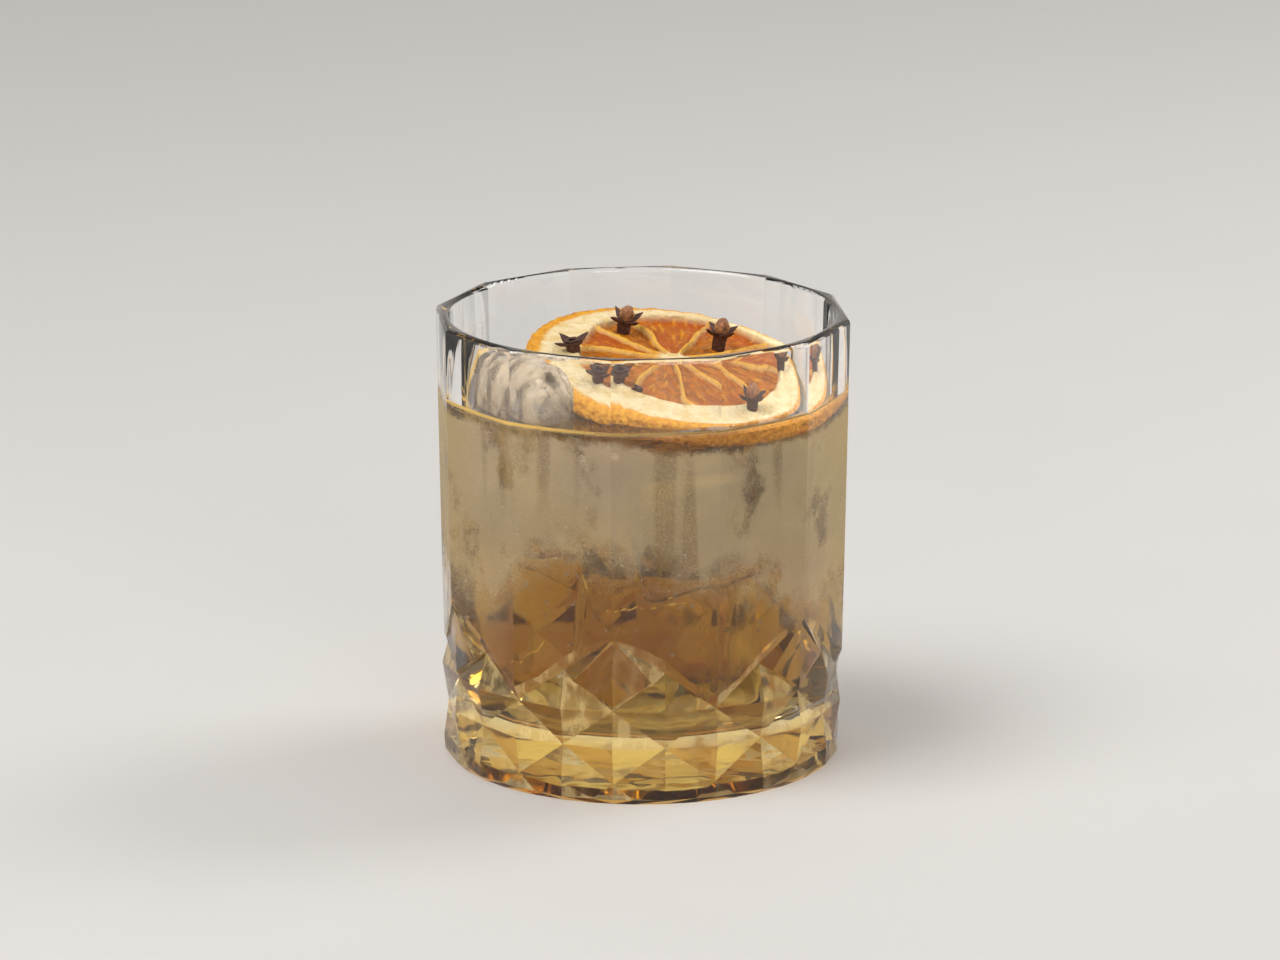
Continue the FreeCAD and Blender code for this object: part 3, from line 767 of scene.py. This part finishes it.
# ---- glass and fog
class COCKTAIL_OT_tumbler(bpy.types.Operator):
    """Cut tumbler, its edges softened, with a film of condensation on its panels"""

    bl_idname = "cocktail.tumbler"
    bl_label = "Build tumbler"
    CUT_ANGLE = math.radians(9.0)
    WELD, SLIVER = 4e-6, 1e-6
    FILM_RISE = 0.003
    FILM_LOW, FILM_HIGH = 0.02, 0.086

    def execute(self, context):
        settings, fog = context.scene.cocktail_tumbler, context.scene.cocktail_fog
        glass = merged_copy("glass", "tumbler")
        edit(glass)
        pick_all()
        bpy.ops.mesh.bisect(plane_co=(0, 0, LEVEL), plane_no=(0, 0, 1))
        bpy.ops.object.mode_set(mode="OBJECT")
        film = twin(glass, "condensation")
        modify(glass, "BEVEL", width=settings.edge_round, segments=2, limit_method="ANGLE",
               angle_limit=self.CUT_ANGLE, harden_normals=False)
        edit(glass)
        pick_all()
        bpy.ops.mesh.remove_doubles(threshold=self.WELD)
        pick_all()
        bpy.ops.mesh.dissolve_degenerate(threshold=self.SLIVER)
        bpy.ops.object.mode_set(mode="OBJECT")
        smooth(glass, 20.0)
        finish_piece(glass, [
            glass_finish("Clear Glass", settings), glass_finish("Fogged Glass", settings, fog),
            wetted_finish()], ["glass"])
        for face in glass.data.polygons:
            face.material_index = 2 if self.is_wetted(face) else int(self.is_panel(face))
        # Each face holds its painted light and shade, from the way it faces, for the cut's facets.
        painted_tones = [self.painted_facet_tone(face.center, face.normal) for face in glass.data.polygons]
        glass.data.attributes.new("facet", "FLOAT", "FACE").data.foreach_set("value", painted_tones)
        edit(film)
        pick("faces", lambda face: not self.is_outer(face))
        bpy.ops.mesh.delete(type="FACE")
        pick_all()
        bpy.ops.mesh.bisect(plane_co=(0, 0, fog.top_edge + self.FILM_RISE), plane_no=(0, 0, 1),
                            clear_outer=True)
        pick_all()
        bpy.ops.transform.shrink_fatten(value=fog.film_gap)
        bpy.ops.object.mode_set(mode="OBJECT")
        smooth(film, 20.0)
        finish_piece(film, [fog_finish(fog)])
        return {"FINISHED"}

    def painted_facet_tone(self, spot, normal):
        """Painted light and shade of a facet of the cut, from the way it faces: each side of a diamond
        differs from its neighbours.
        """
        away = outward(spot)
        side = normal.dot(Vector((-away.y, away.x, 0)))
        tilt = abs(normal.z) if spot.z > 0.019 else normal.z
        return 0.5 + 1.1 * side + 0.9 * tilt + 0.5 * wander(normal, 0.31, 3.0)

    def is_panel(self, face):
        """True for the outer faces of the flat panels."""
        return (face.normal.dot(outward(face.center)) > 0.9
                and face.center.xy.length > GLASS_HIGH.x * 0.94)

    def is_wetted(self, face):
        """True for the faces of the bore that the drink touches."""
        spot = face.center
        return DRINK_LOW.z - 0.0006 < spot.z < LEVEL and spot.xy.length < bore_radius(spot.z) + 0.0005

    def is_outer(self, face):
        """True for the outer faces that the fog lies on."""
        spot = face.calc_center_median()
        return (face.normal.dot(outward(spot)) > 0.5 and spot.xy.length > GLASS_HIGH.x * 0.92
                and self.FILM_LOW < spot.z < self.FILM_HIGH)


# ---- drink
class COCKTAIL_OT_drink(bpy.types.Operator):
    """Amber drink that fills the bore up to its level, with a raised edge at the wall"""

    bl_idname = "cocktail.drink"
    bl_label = "Build drink"
    CORNER = 0.006
    CLIMB_REACH, CLIMB_FALL = 0.0045, 0.0011

    def execute(self, context):
        settings = context.scene.cocktail_drink
        floor, corner, reach = DRINK_LOW.z - 0.0004, self.CORNER, settings.wall_reach
        wall, foot = bore_radius(LEVEL) + reach, bore_radius(floor) + reach
        outline = [(0.0, floor), (foot * 0.4, floor), (foot - corner, floor)]
        for step in range(1, 9):
            turn = math.radians(90 * step / 8)
            outline.append((foot - corner + corner * math.sin(turn), floor + corner * (1 - math.cos(turn))))
        outline += [((wall + foot) / 2, (LEVEL + floor) / 2), (wall, LEVEL + settings.meniscus)]
        for step in range(1, 13):
            gap = self.CLIMB_REACH * (step / 12) ** 1.5
            rise = settings.meniscus * math.exp(-gap / self.CLIMB_FALL)
            outline.append((wall - reach - gap, LEVEL + rise))
        outline += [(wall * part, LEVEL) for part in (0.7, 0.35, 0.0)]
        drink = turned_outline("drink_fill", outline, 144)
        smooth(drink, 50.0)
        finish_piece(drink, [drink_finish(settings)], ["drink"])
        return {"FINISHED"}


# ---- ice
class COCKTAIL_OT_ice(bpy.types.Operator):
    """Ice block that stands out of the drink, the ice sunk in it and the cloud in their middles"""

    bl_idname = "cocktail.ice"
    bl_label = "Build ice"

    def execute(self, context):
        settings = context.scene.cocktail_ice
        wet, sunk = ice_finish("Wet Ice", ICE_IOR), ice_finish("Sunk Ice", SUNK_ICE_IOR)
        cloud = cloud_finish(settings)
        block = merged_copy("ice_block", "ice_over_the_level")
        modify(block, "REMESH", mode="VOXEL", voxel_size=0.0008)
        modify(block, "SMOOTH", factor=0.5, iterations=12)
        low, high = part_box("ice_block")
        middle = (low + high) / 2
        sculpt(block, lambda place: self.melted(place, (place - middle).normalized(), settings.melt, 1.0))
        smooth(block, 60.0)
        finish_piece(block, [wet, sunk], ["ice_block"])
        for face in block.data.polygons:
            face.material_index = int(face.center.z < LEVEL - 0.0002)
        self.add_core(block, cloud, "ice_over_cloud", 0.86, 7.0, 0.035)
        spots = (((0.0105, -0.019, 0.0555), (8, -12, 20)), ((0.019, 0.013, 0.052), (-14, 9, 48)),
                 ((-0.012, 0.018, 0.051), (10, 14, -25)))
        for number, (spot, turn) in enumerate(spots, 1):
            cube = self.cube("sunk_ice_%d" % number, settings, Vector(spot), turn, number)
            finish_piece(cube, [sunk])
            self.add_core(cube, cloud, "sunk_cloud_%d" % number, 0.68, number + 0.5)
        cube = self.cube("sunk_ice_low", settings, Vector((0.0045, -0.0125, 0.031)), (4, 6, 2), 5)
        finish_piece(cube, [sunk])
        # Painted glints: bright threads near the front faces of the sunk ice, where its edges and flaws would
        # catch the light.
        flaw = crack_glint_finish()
        for number, (start, end) in enumerate((
                ((-0.0015, -0.0290, 0.0378), (0.0125, -0.0282, 0.0394)),
                ((-0.0062, -0.0291, 0.0448), (-0.0052, -0.0290, 0.0412)),
                ((-0.0195, -0.0250, 0.0255), (-0.0140, -0.0285, 0.0300))), 1):
            finish_piece(self.crack("ice_crack_%d" % number, start, end, number), [flaw])
        return {"FINISHED"}

    def crack(self, name, start, end, seed):
        """Thin bright flaw at the face of an ice cube, its brightness a painted glint: a ribbon of uneven
        width.
        """
        start, end = Vector(start), Vector(end)
        along = (end - start).normalized()
        across = along.cross(Vector((0, -1, 0))).normalized()
        points, steps = [], 40
        for step in range(steps + 1):
            spot = start.lerp(end, step / steps)
            spot = spot + across * 0.0007 * rough(spot, 0.003, seed)
            width = 0.00026 * (0.30 + abs(rough(spot, 0.0016, seed + 2.0)))
            points += [spot - across * width, spot + across * width]
        piece = add_mesh(name, points, [], [(i, i + 1, i + 3, i + 2) for i in range(0, 2 * steps, 2)])
        modify(piece, "SOLIDIFY", thickness=0.00015)
        return piece

    def cube(self, name, settings, spot, turn, seed):
        """Melted ice cube."""
        bpy.ops.mesh.primitive_cube_add(size=settings.side)
        cube = added(name)
        modify(cube, "BEVEL", width=settings.side * 0.13, segments=3, limit_method="NONE")
        modify(cube, "SUBSURF", levels=3, render_levels=3, subdivision_type="SIMPLE")
        modify(cube, "SMOOTH", factor=0.5, iterations=6)
        sculpt(cube, lambda place: self.melted(place, place.normalized(), settings.melt * 1.6, seed))
        turned = Euler([math.radians(angle) for angle in turn]).to_matrix()
        cube.matrix_world = Matrix.Translation(spot) @ turned.to_4x4()
        smooth(cube, 60.0)
        return cube

    def melted(self, place, outward, amount, seed):
        """Place of a vertex after the face has melted unevenly, always a little inwards."""
        dent = 0.5 + 0.5 * wander(place, 0.007, seed) + 0.25 * wander(place, 0.0025, seed + 4)
        return place - outward * amount * max(0.0, dent)

    def add_core(self, ice, cloud, name, size, seed, folds=0.11):
        """Cloudy middle: the ice's own shape, shrunk and crumpled."""
        core = twin(ice, name)
        places = points_of(core)
        middle = Vector(places.min(0) + places.max(0)) / 2

        def crumple(place):
            away = place - middle
            return middle + away * (size + folds * rough(place, 0.006, seed))

        sculpt(core, crumple)
        smooth(core, 80.0)
        finish_piece(core, [cloud])
        for face in core.data.polygons:
            face.material_index = 0


# ---- drops and bubbles
def scatter(name, blobs, squash):
    """One piece of many small rounded blobs, each given by its place, normal and radius."""
    bpy.ops.mesh.primitive_uv_sphere_add(segments=8, ring_count=5, radius=1.0)
    seed = bpy.context.object
    modify(seed, "TRIANGULATE")
    sculpt(seed, lambda place: Vector((place.x, place.y, place.z * squash)))
    shape = points_of(seed)
    faces = np.array([face.vertices for face in seed.data.polygons])
    points, corners = [], []
    for number, (spot, normal, radius) in enumerate(blobs):
        turn = np.array(normal.to_track_quat("Z", "Y").to_matrix())
        points.append(np.array(spot) + (shape * radius) @ turn.T)
        corners.append(faces + number * len(shape))
    bpy.data.objects.remove(seed)
    piece = add_mesh(name, np.concatenate(points).tolist(), [], np.concatenate(corners).tolist())
    smooth(piece, 80.0)
    return piece


class COCKTAIL_OT_beads(bpy.types.Operator):
    """Beads of water on the cold wall and air bubbles in the drink"""

    bl_idname = "cocktail.beads"
    bl_label = "Build beads"
    LIFT = 0.00005

    def execute(self, context):
        settings = context.scene.cocktail_beads
        chance = np.random.default_rng(7)
        context.view_layer.update()
        beads = []
        while len(beads) < settings.drops:
            turn, height = chance.uniform(0, math.tau), chance.normal(0.047, 0.010)
            radius = settings.drop_radius * chance.uniform(0.35, 1.0) ** 2
            hit, spot, normal = self.wall(turn, height)
            if hit and 0.030 < height < 0.072 and spot.xy.length < 0.0406:
                beads.append((spot + normal * self.LIFT, normal, radius))
        for turn, height, radius in ((-98.5, 0.0700, 0.0010), (-97.0, 0.0682, 0.0006),
                                     (-89.0, 0.0712, 0.0008)):
            spot, normal = self.wall(math.radians(turn), height)[1:]
            beads.append((spot + normal * self.LIFT, normal, radius))
        drops = scatter("wall_drops", beads, 0.5)
        finish_piece(drops, [water_finish("Water Bead", WATER_IOR)])
        bubbles = []
        for _ in range(settings.bubbles):
            turn = chance.uniform(0, math.tau)
            low, high = (0.060, 0.0725) if chance.random() < 0.7 else (0.016, 0.045)
            height = chance.uniform(low, high)
            reach = bore_radius(height) - chance.uniform(0.0012, 0.0050)
            size = settings.bubble_radius * chance.uniform(0.3, 1.0) ** 1.5
            bubbles.append((toward(turn, reach, height), Vector((0, 0, 1)), size))
        air = scatter("air_bubbles", bubbles, 0.95)
        finish_piece(air, [water_finish("Air Bubble", BUBBLE_IOR)])
        return {"FINISHED"}

    def wall(self, turn, height):
        """Whether the tumbler's wall is met at a turn and height, its place and its normal."""
        start = toward(turn, 0.1, height)
        return bpy.data.objects["tumbler"].ray_cast(start, -toward(turn))[:3]


# ---- orange slice
def flesh_limit(turn):
    """Distance from the slice's middle of the flesh's edge, which dried unevenly."""
    spread = 22.6 + 1.0 * math.cos(turn - math.radians(80)) - 1.1 * math.cos(2 * turn)
    return spread * MM


def slice_zones(x, y):
    """How far inside a segment a point is, how near a skin, and which segment it is in."""
    out = Vector((x, y)) - FLESH_MIDDLE
    turn = math.atan2(out.y, out.x)
    wobble = 0.5 * MM * wander(Vector((x, y, 0.0)), 0.004, 2.0)
    edge = flesh_limit(turn) + wobble - out.length
    arm = Vector((x, y)) - CORE_MIDDLE
    angle = math.degrees(math.atan2(arm.y, arm.x)) % 360
    angle += 7.0 * wander(Vector((x, y, 0.0)), 0.008, 9.0)
    gap = min(abs((angle - skin + 180) % 360 - 180) for skin in SKIN_TURNS)
    side = math.sin(math.radians(min(gap, 90.0))) * arm.length
    segment = sum(1 for skin in SKIN_TURNS if angle > skin) % len(SKIN_TURNS)
    return edge, side, arm, segment


class COCKTAIL_OT_orange_slice(bpy.types.Operator):
    """Dried orange slice with zest, pith, ten sunken segments and their skins"""

    bl_idname = "cocktail.orange_slice"
    bl_label = "Build orange slice"

    def execute(self, context):
        settings = context.scene.cocktail_slice
        place, radius = slice_place()
        depth = settings.thickness
        bpy.ops.mesh.primitive_cylinder_add(vertices=300, radius=radius - 0.0002, depth=depth,
                                            end_fill_type="NGON", location=(0, 0, -depth / 2))
        piece = added("dried_orange")
        ground(piece)
        for top, count, step in ((True, 66, 0.00045), (False, 36, 0.0008)):
            self.ring(piece, top, count, step)
        edit(piece)
        pick("edges", lambda e: abs(e.verts[0].co.z - e.verts[1].co.z) > depth / 2)
        bpy.ops.mesh.subdivide(number_cuts=7)
        tidy_normals()
        self.shape(piece, settings, radius, depth)
        smooth(piece, 70.0)
        piece.matrix_world = place
        finish_piece(piece, [orange_finish(settings)], ["orange_slice"])
        return {"FINISHED"}

    def ring(self, piece, top, count, step):
        """Insets an end face again and again, so that it has rings to sculpt."""
        edit(piece)
        pick("faces", lambda face: (face.normal.z > 0.9) == top and abs(face.normal.z) > 0.9)
        for _ in range(count):
            bpy.ops.mesh.inset(thickness=step, depth=0.0)
        bpy.ops.mesh.poke()
        bpy.ops.object.mode_set(mode="OBJECT")

    def shape(self, piece, settings, radius, depth):
        """Sculpts the slice and paints its zones."""
        data = piece.data
        count = len(data.vertices)
        zone = np.zeros((count, 4), np.float32)
        zone[:, 3] = 1.0
        age, fibre = np.zeros(count, np.float32), np.zeros(count, np.float32)
        moved = np.zeros((count, 3), np.float32)
        for index, vertex in enumerate(data.vertices):
            place = vertex.co.copy()
            turn, span, height = math.atan2(place.y, place.x), place.xy.length, place.z
            upper = 1.0 + place.z / depth
            if span < radius - 0.0025:
                drop, zone[index, :2], age[index], fibre[index] = self.dried(place, settings, radius)
                height -= drop if upper > 0.5 else -0.7 * drop
            curled = 0.0018 * max(0.0, math.cos(turn - CURL_TURN)) ** 0.7
            zone[index, 2] = self.step(span + curled + 0.0005 * rough(place, 0.0016, 8.0),
                                       radius - 0.0019, radius - 0.0010)
            if span > radius - RIM:
                height += self.round_off(place, upper, span, 1.0 - (radius - span) / RIM)
            height += self.bend(place, upper, turn, span, radius, curled)
            shrink = 1.0 - 0.006 * (0.5 + 0.5 * math.sin(3 * turn + 0.6)) * (span / radius) ** 2
            moved[index] = (place.x * shrink, place.y * shrink, height)
        data.vertices.foreach_set("co", moved.ravel())
        data.color_attributes.new("zone", "FLOAT_COLOR", "POINT").data.foreach_set("color", zone.ravel())
        for name, values in (("age", age), ("fibre", fibre)):
            data.attributes.new(name, "FLOAT", "POINT").data.foreach_set("value", values)
        data.update()

    def dried(self, place, settings, radius):
        """How far a place sank, the shares of flesh and skin in it, its age and its fibres."""
        edge, side, arm, segment = slice_zones(place.x, place.y)
        skin_half = settings.membrane * (0.55 + 0.25 * wander(place, 0.003, 5.0))
        core = self.step(arm.length, 0.0042, 0.0024)
        skin = max(self.step(side, skin_half * 1.5, skin_half * 0.5), core)
        inside = self.step(edge, 0.0, 0.0011)
        lip = self.step(abs(edge), 0.0012, 0.0002)
        flesh = inside * (1.0 - skin)
        around = math.degrees(math.atan2(arm.y, arm.x))
        strand = 0.5 + 0.5 * noise.fractal(
            Vector((around * 0.35, arm.length * 260.0, segment * 7.0)), 0.8, 2.2, 3)
        relief = settings.recess * (1.0 + 0.28 * wander(place, 0.009, 3.0))
        relief -= 0.00034 * strand + 0.00030 * wander(place, 0.0024, segment * 1.7)
        drop = flesh * relief - skin * inside * 0.00008 - 0.00025 * lip
        age = self.step(0.5 + 0.8 * wander(Vector((segment * 3.3, 0, 0)), 1.0)
                        + 0.5 * place.y / radius + 0.45 * wander(place, 0.008, 6.0), 0.45, 1.1)
        skin *= inside * (1 - 0.65 * core) * (1 - 0.75 * core)
        return drop, (flesh, skin), age, min(1.0, max(0.0, strand))

    def round_off(self, place, upper, span, rim):
        """Rounds the rim off at a place and gives the height that its bumps add."""
        rounding = 0.0011 * (1 - math.sqrt(max(0.0, 1 - (2 * upper - 1) ** 4)))
        bumps = 0.00026 * rough(place, 0.0011, 11.0, 3) + 0.00014 * wander(place, 0.0028, 12.0)
        out = (bumps - 0.00020 - rounding) * rim / span
        place.x += place.x * out
        place.y += place.y * out
        return (upper - 0.5) * 0.0003 * rim * rough(place, 0.0012, 14.0, 3)

    def bend(self, place, upper, turn, span, radius, curled):
        """Height that drying adds at a place: bumps, the peel's curl, a lifted side and a slow warp."""
        peel = self.step(span, radius - 0.0026, radius - 0.0009) * (1.0 if upper > 0.5 else -1.0)
        height = 0.00010 * rough(place, 0.0020, 20.0, 3) * peel + 0.00013 * wander(place, 0.0035, 21.0)
        curl = self.step(span + curled, radius - 0.0018, radius) * curled
        height += (-0.22 * curl + 0.22 * curl * rough(place, 0.0011, 30.0, 3)) * (upper > 0.5)
        off = (turn - LIFT_TURN + math.pi) % math.tau - math.pi
        lift = max(0.0, math.cos(min(math.pi / 2, 1.3 * abs(off))))
        height += 0.0012 * lift * (span / radius) ** 3
        return height + 0.00035 * math.sin(2 * turn + 0.9) * (span / radius) ** 2 - 0.0002

    @staticmethod
    def step(value, low, high):
        """Smooth step from nothing at low to one at high, in either direction."""
        t = min(1.0, max(0.0, (value - low) / (high - low)))
        return t * t * (3 - 2 * t)


# ---- cloves
class COCKTAIL_OT_cloves(bpy.types.Operator):
    """Whole cloves stuck in the slice, with and without their buds"""

    bl_idname = "cocktail.cloves"
    bl_label = "Build cloves"

    def execute(self, context):
        settings = context.scene.cocktail_cloves
        dark = clove_finish("Clove Stem", settings.dark, 1500.0)
        light = clove_finish("Clove Bud", settings.bud, 1100.0)
        self.crumb(dark)
        for number, node in enumerate(CLOVES, 1):
            place, turn, span = clove_place(node, settings.stem_length)
            has_bud = span > settings.stem_length + BUD_RISE
            piece = self.clove(node + "_whole", settings, has_bud, turn, number, (dark, light))
            piece.matrix_world = place
            finish_piece(piece, (), [node])
        return {"FINISHED"}

    def crumb(self, dark):
        """Chip of clove that lies on the slice's rim of pith."""
        place = slice_place()[0]
        bpy.ops.mesh.primitive_ico_sphere_add(subdivisions=3, radius=0.0011)
        chip = added("clove_crumb")
        sculpt(chip, lambda spot: Vector((spot.x * 1.1, spot.y * 0.8, spot.z * 0.6))
               * (1 + 0.45 * rough(spot, 0.0009, 3.0)) + Vector((-0.0062, -0.0186, 0.0002)))
        chip.matrix_world = place
        smooth(chip, 40.0)
        finish_piece(chip, [dark])

    def clove(self, name, settings, has_bud, turn, seed, finishes):
        """One clove: stem and cup spun, sepals and bud set on it, then wrinkled."""
        stem = settings.stem_length
        outline = [(0.0, -stem), (0.0006, -stem + 0.0001), (0.0008, -stem + 0.0006)]
        outline += [(0.0008 + 0.00056 * (step / 9) ** 0.9, -stem + 0.0006 + (stem - 0.0006) * step / 9)
                    for step in range(1, 10)]
        outline += [(0.00138, 0.0008), (0.00140, 0.0016), (0.00150, 0.0024), (0.00166, 0.0030),
                    (0.00160, 0.0033), (0.00120, 0.0031), (0.0, 0.0026)]
        parts = [turned_outline(name, outline, 20)]
        parts += [self.sepal(turn + math.tau * number / 4, seed + number) for number in range(4)]
        parts.append(self.bud(turn, seed) if has_bud else self.dimple())
        for part in parts:
            part.data.materials.append(finishes[has_bud and part == parts[-1]])
        piece = join(parts, name)
        piece.data.name = name
        sculpt(piece, lambda place: self.wrinkle(place, seed, stem))
        neck = 0.72 + 0.16 * math.cos(2.1 * seed)
        sculpt(piece, lambda place: place - Vector((0, 0, (1 - neck) * min(0.0030, max(0.0, place.z)))))
        smooth(piece, 55.0)
        return piece

    def sepal(self, turn, seed):
        """Pointed leaf that leans out from the cup."""
        bpy.ops.mesh.primitive_cube_add(size=2.0)
        leaf = bpy.context.object
        modify(leaf, "SUBSURF", levels=3, render_levels=3)
        reach = max(v.co.x for v in leaf.data.vertices)
        lift = 0.0009 * wander(Vector((seed * 1.37, 0.4, 0)), 1.0, 1.0)

        def shape(place):
            along = (place.x / reach + 1) / 2
            side, thick = place.y / reach, place.z / reach
            width = 0.00122 * (1 - along ** 1.3) + 0.00016
            depth = 0.00052 * (1.1 - 0.6 * along)
            rise = 0.0025 + 0.0007 * along + (0.0011 + lift) * along ** 2
            return Vector((0.0005 + 0.0037 * along, side * width,
                           rise + thick * depth + 0.0003 * side * side))

        sculpt(leaf, shape)
        leaf.data.transform(Matrix.Rotation(turn, 4, "Z"))
        leaf.data.update()
        return leaf

    def bud(self, turn, seed):
        """Round bud of four petals folded over one another."""
        bpy.ops.mesh.primitive_uv_sphere_add(segments=32, ring_count=20, radius=BUD_RADIUS)
        bud = bpy.context.object

        def fold(place):
            around = math.atan2(place.y, place.x) - turn + 0.9 * place.z / 0.0019
            crease = abs(math.sin(2 * around)) ** 0.5
            top = max(0.0, place.z / BUD_RADIUS)
            lobe = 1.0 - 0.20 * (1 - crease) * (1 - 0.4 * top) + 0.04 * wander(place, 0.0010, seed)
            lobe *= 0.80 - 0.10 * top
            return Vector((place.x * lobe, place.y * lobe, 0.0042 + place.z * 1.02))

        sculpt(bud, fold)
        return bud

    def dimple(self):
        """Ring of dried stamens left where a bud has dropped."""
        bpy.ops.mesh.primitive_torus_add(major_segments=24, minor_segments=8, major_radius=0.00115,
                                         minor_radius=0.00034, location=(0, 0, 0.0034))
        ring = bpy.context.object
        ground(ring)
        return ring

    def wrinkle(self, place, seed, stem):
        """Wrinkles and a slight bend of the whole clove."""
        flat = Vector((place.x, place.y, 0))
        amount = 0.00016 * rough(Vector((place.x, place.y, place.z * 0.45)), 0.0009, seed * 2.0)
        if flat.length > 1e-6:
            place = place + flat.normalized() * amount
        bend = 0.00035 * ((place.z + stem) / stem - 1.0) ** 2
        return place + toward(seed * 2.4, bend)


# ---- studio
class COCKTAIL_OT_studio(bpy.types.Operator):
    """Pale floor, soft lamps and the camera"""

    bl_idname = "cocktail.studio"
    bl_label = "Build studio"

    def execute(self, context):
        settings = context.scene.cocktail_studio
        bpy.ops.mesh.primitive_plane_add(size=12.0)
        floor = added("studio_floor")
        floor.data.materials.append(self.floor_finish(settings))
        self.world(context, settings)
        self.lamp("key", (-0.55, -0.45, 1.15), 0.8, 12.5, (1.0, 0.975, 0.94))
        self.lamp("rim", (0.75, 0.55, 0.75), 0.5, 6.0, (1.0, 0.97, 0.93))
        self.lamp("front", (0.65, -1.15, 0.55), 0.45, 3.0, (1.0, 0.98, 0.96))
        self.camera(context, settings)
        return {"FINISHED"}

    def floor_finish(self, settings):
        """Smooth pale studio board that fades into the backdrop far away."""
        look = Look("Studio Floor")
        mottle = look.grain(14.0, 4.0)
        tint = look.blend(mottle, tinted(settings.floor, (0.98, 0.98, 0.98)), settings.floor)
        board = look.principled(tint, look.ramp(mottle, 0.3, 0.7, 0.6, 0.7))
        backdrop = look.add("Emission", {"Color": settings.backdrop}).outputs[0]
        return look.finish(look.mix(look.ramp(look.measure("LENGTH"), 0.5, 3.2), board, backdrop))

    def world(self, context, settings):
        """Soft light from all round, with the backdrop's colour where it is seen."""
        world = bpy.data.worlds.new("Studio")
        world.use_nodes = True
        context.scene.world = world
        nodes = Nodes(world.node_tree)
        nodes.tree.nodes.clear()
        nodes.place = nodes.add("TexCoord").outputs["Generated"]
        path = nodes.add("LightPath").outputs
        seen = nodes.math("MAXIMUM", path["Is Camera Ray"], path["Is Transmission Ray"])
        seen = nodes.math("MAXIMUM", seen, path["Is Glossy Ray"])
        sky = nodes.blend(nodes.ramp(nodes.axis("Z"), 0.10, 0.55), settings.backdrop, (0.42, 0.41, 0.40))
        soft = nodes.add("Background", {"Color": (1.0, 0.99, 0.97), "Strength": settings.fill})
        shown = nodes.add("Background", {"Color": sky, "Strength": 1.0})
        nodes.add("OutputWorld", {"Surface": nodes.mix(seen, soft.outputs[0], shown.outputs[0])})

    def lamp(self, name, spot, side, power, tint):
        """Square soft lamp aimed at the glass."""
        lamp = add_object(name, bpy.data.lights.new(name, "AREA"))
        lamp.data.size, lamp.data.energy, lamp.data.color = side, power, tint
        lamp.location = spot
        aim = Vector((0, 0, GLASS_HIGH.z / 2)) - Vector(spot)
        lamp.rotation_euler = aim.to_track_quat("-Z", "Y").to_euler()

    def camera(self, context, settings):
        """Long lens a little above the rim."""
        camera = add_object("camera", bpy.data.cameras.new("camera"))
        camera.data.lens = LENS
        aim = Matrix.Translation((0, 0, AIM_HEIGHT)) @ Matrix.Rotation(settings.turn, 4, "Z")
        back = Vector((AIM_SHIFT, -settings.distance * math.cos(settings.tilt),
                       settings.distance * math.sin(settings.tilt)))
        camera.location = aim @ back
        camera.rotation_euler = (math.pi / 2 - settings.tilt, 0.0, settings.turn)
        context.scene.camera = camera
        context.scene.view_settings.view_transform = "Standard"


# ---- panel and registration
GROUPS = {
    "cocktail_tumbler": TumblerSettings,
    "cocktail_fog": FogSettings,
    "cocktail_drink": DrinkSettings,
    "cocktail_ice": IceSettings,
    "cocktail_beads": BeadSettings,
    "cocktail_slice": SliceSettings,
    "cocktail_cloves": CloveSettings,
    "cocktail_studio": StudioSettings,
}
OPERATORS = (
    COCKTAIL_OT_tumbler,
    COCKTAIL_OT_drink,
    COCKTAIL_OT_ice,
    COCKTAIL_OT_beads,
    COCKTAIL_OT_orange_slice,
    COCKTAIL_OT_cloves,
    COCKTAIL_OT_studio,
)


class COCKTAIL_PT_panel(bpy.types.Panel):
    """Sizes, colours and build buttons of the cocktail"""

    bl_idname = "COCKTAIL_PT_panel"
    bl_label = "Rusty Nail"
    bl_space_type = "VIEW_3D"
    bl_region_type = "UI"
    bl_category = "Cocktail"

    def draw(self, context):
        for operator in OPERATORS:
            self.layout.operator(operator.bl_idname)
        for name, group in GROUPS.items():
            box = self.layout.box()
            box.label(text=group.__name__.replace("Settings", ""))
            for key in group.__annotations__:
                box.prop(getattr(context.scene, name), key)


def register():
    for name, group in GROUPS.items():
        bpy.utils.register_class(group)
        setattr(bpy.types.Scene, name, PointerProperty(type=group))
    for operator in OPERATORS:
        bpy.utils.register_class(operator)
    bpy.utils.register_class(COCKTAIL_PT_panel)


def unregister():
    bpy.utils.unregister_class(COCKTAIL_PT_panel)
    for operator in reversed(OPERATORS):
        bpy.utils.unregister_class(operator)
    for name, group in reversed(list(GROUPS.items())):
        delattr(bpy.types.Scene, name)
        bpy.utils.unregister_class(group)


def main():
    """Builds every piece and the studio."""
    register()
    bpy.ops.cocktail.tumbler()
    bpy.ops.cocktail.drink()
    bpy.ops.cocktail.ice()
    bpy.ops.cocktail.beads()
    bpy.ops.cocktail.orange_slice()
    bpy.ops.cocktail.cloves()
    bpy.ops.cocktail.studio()


if __name__ == "__main__":
    main()
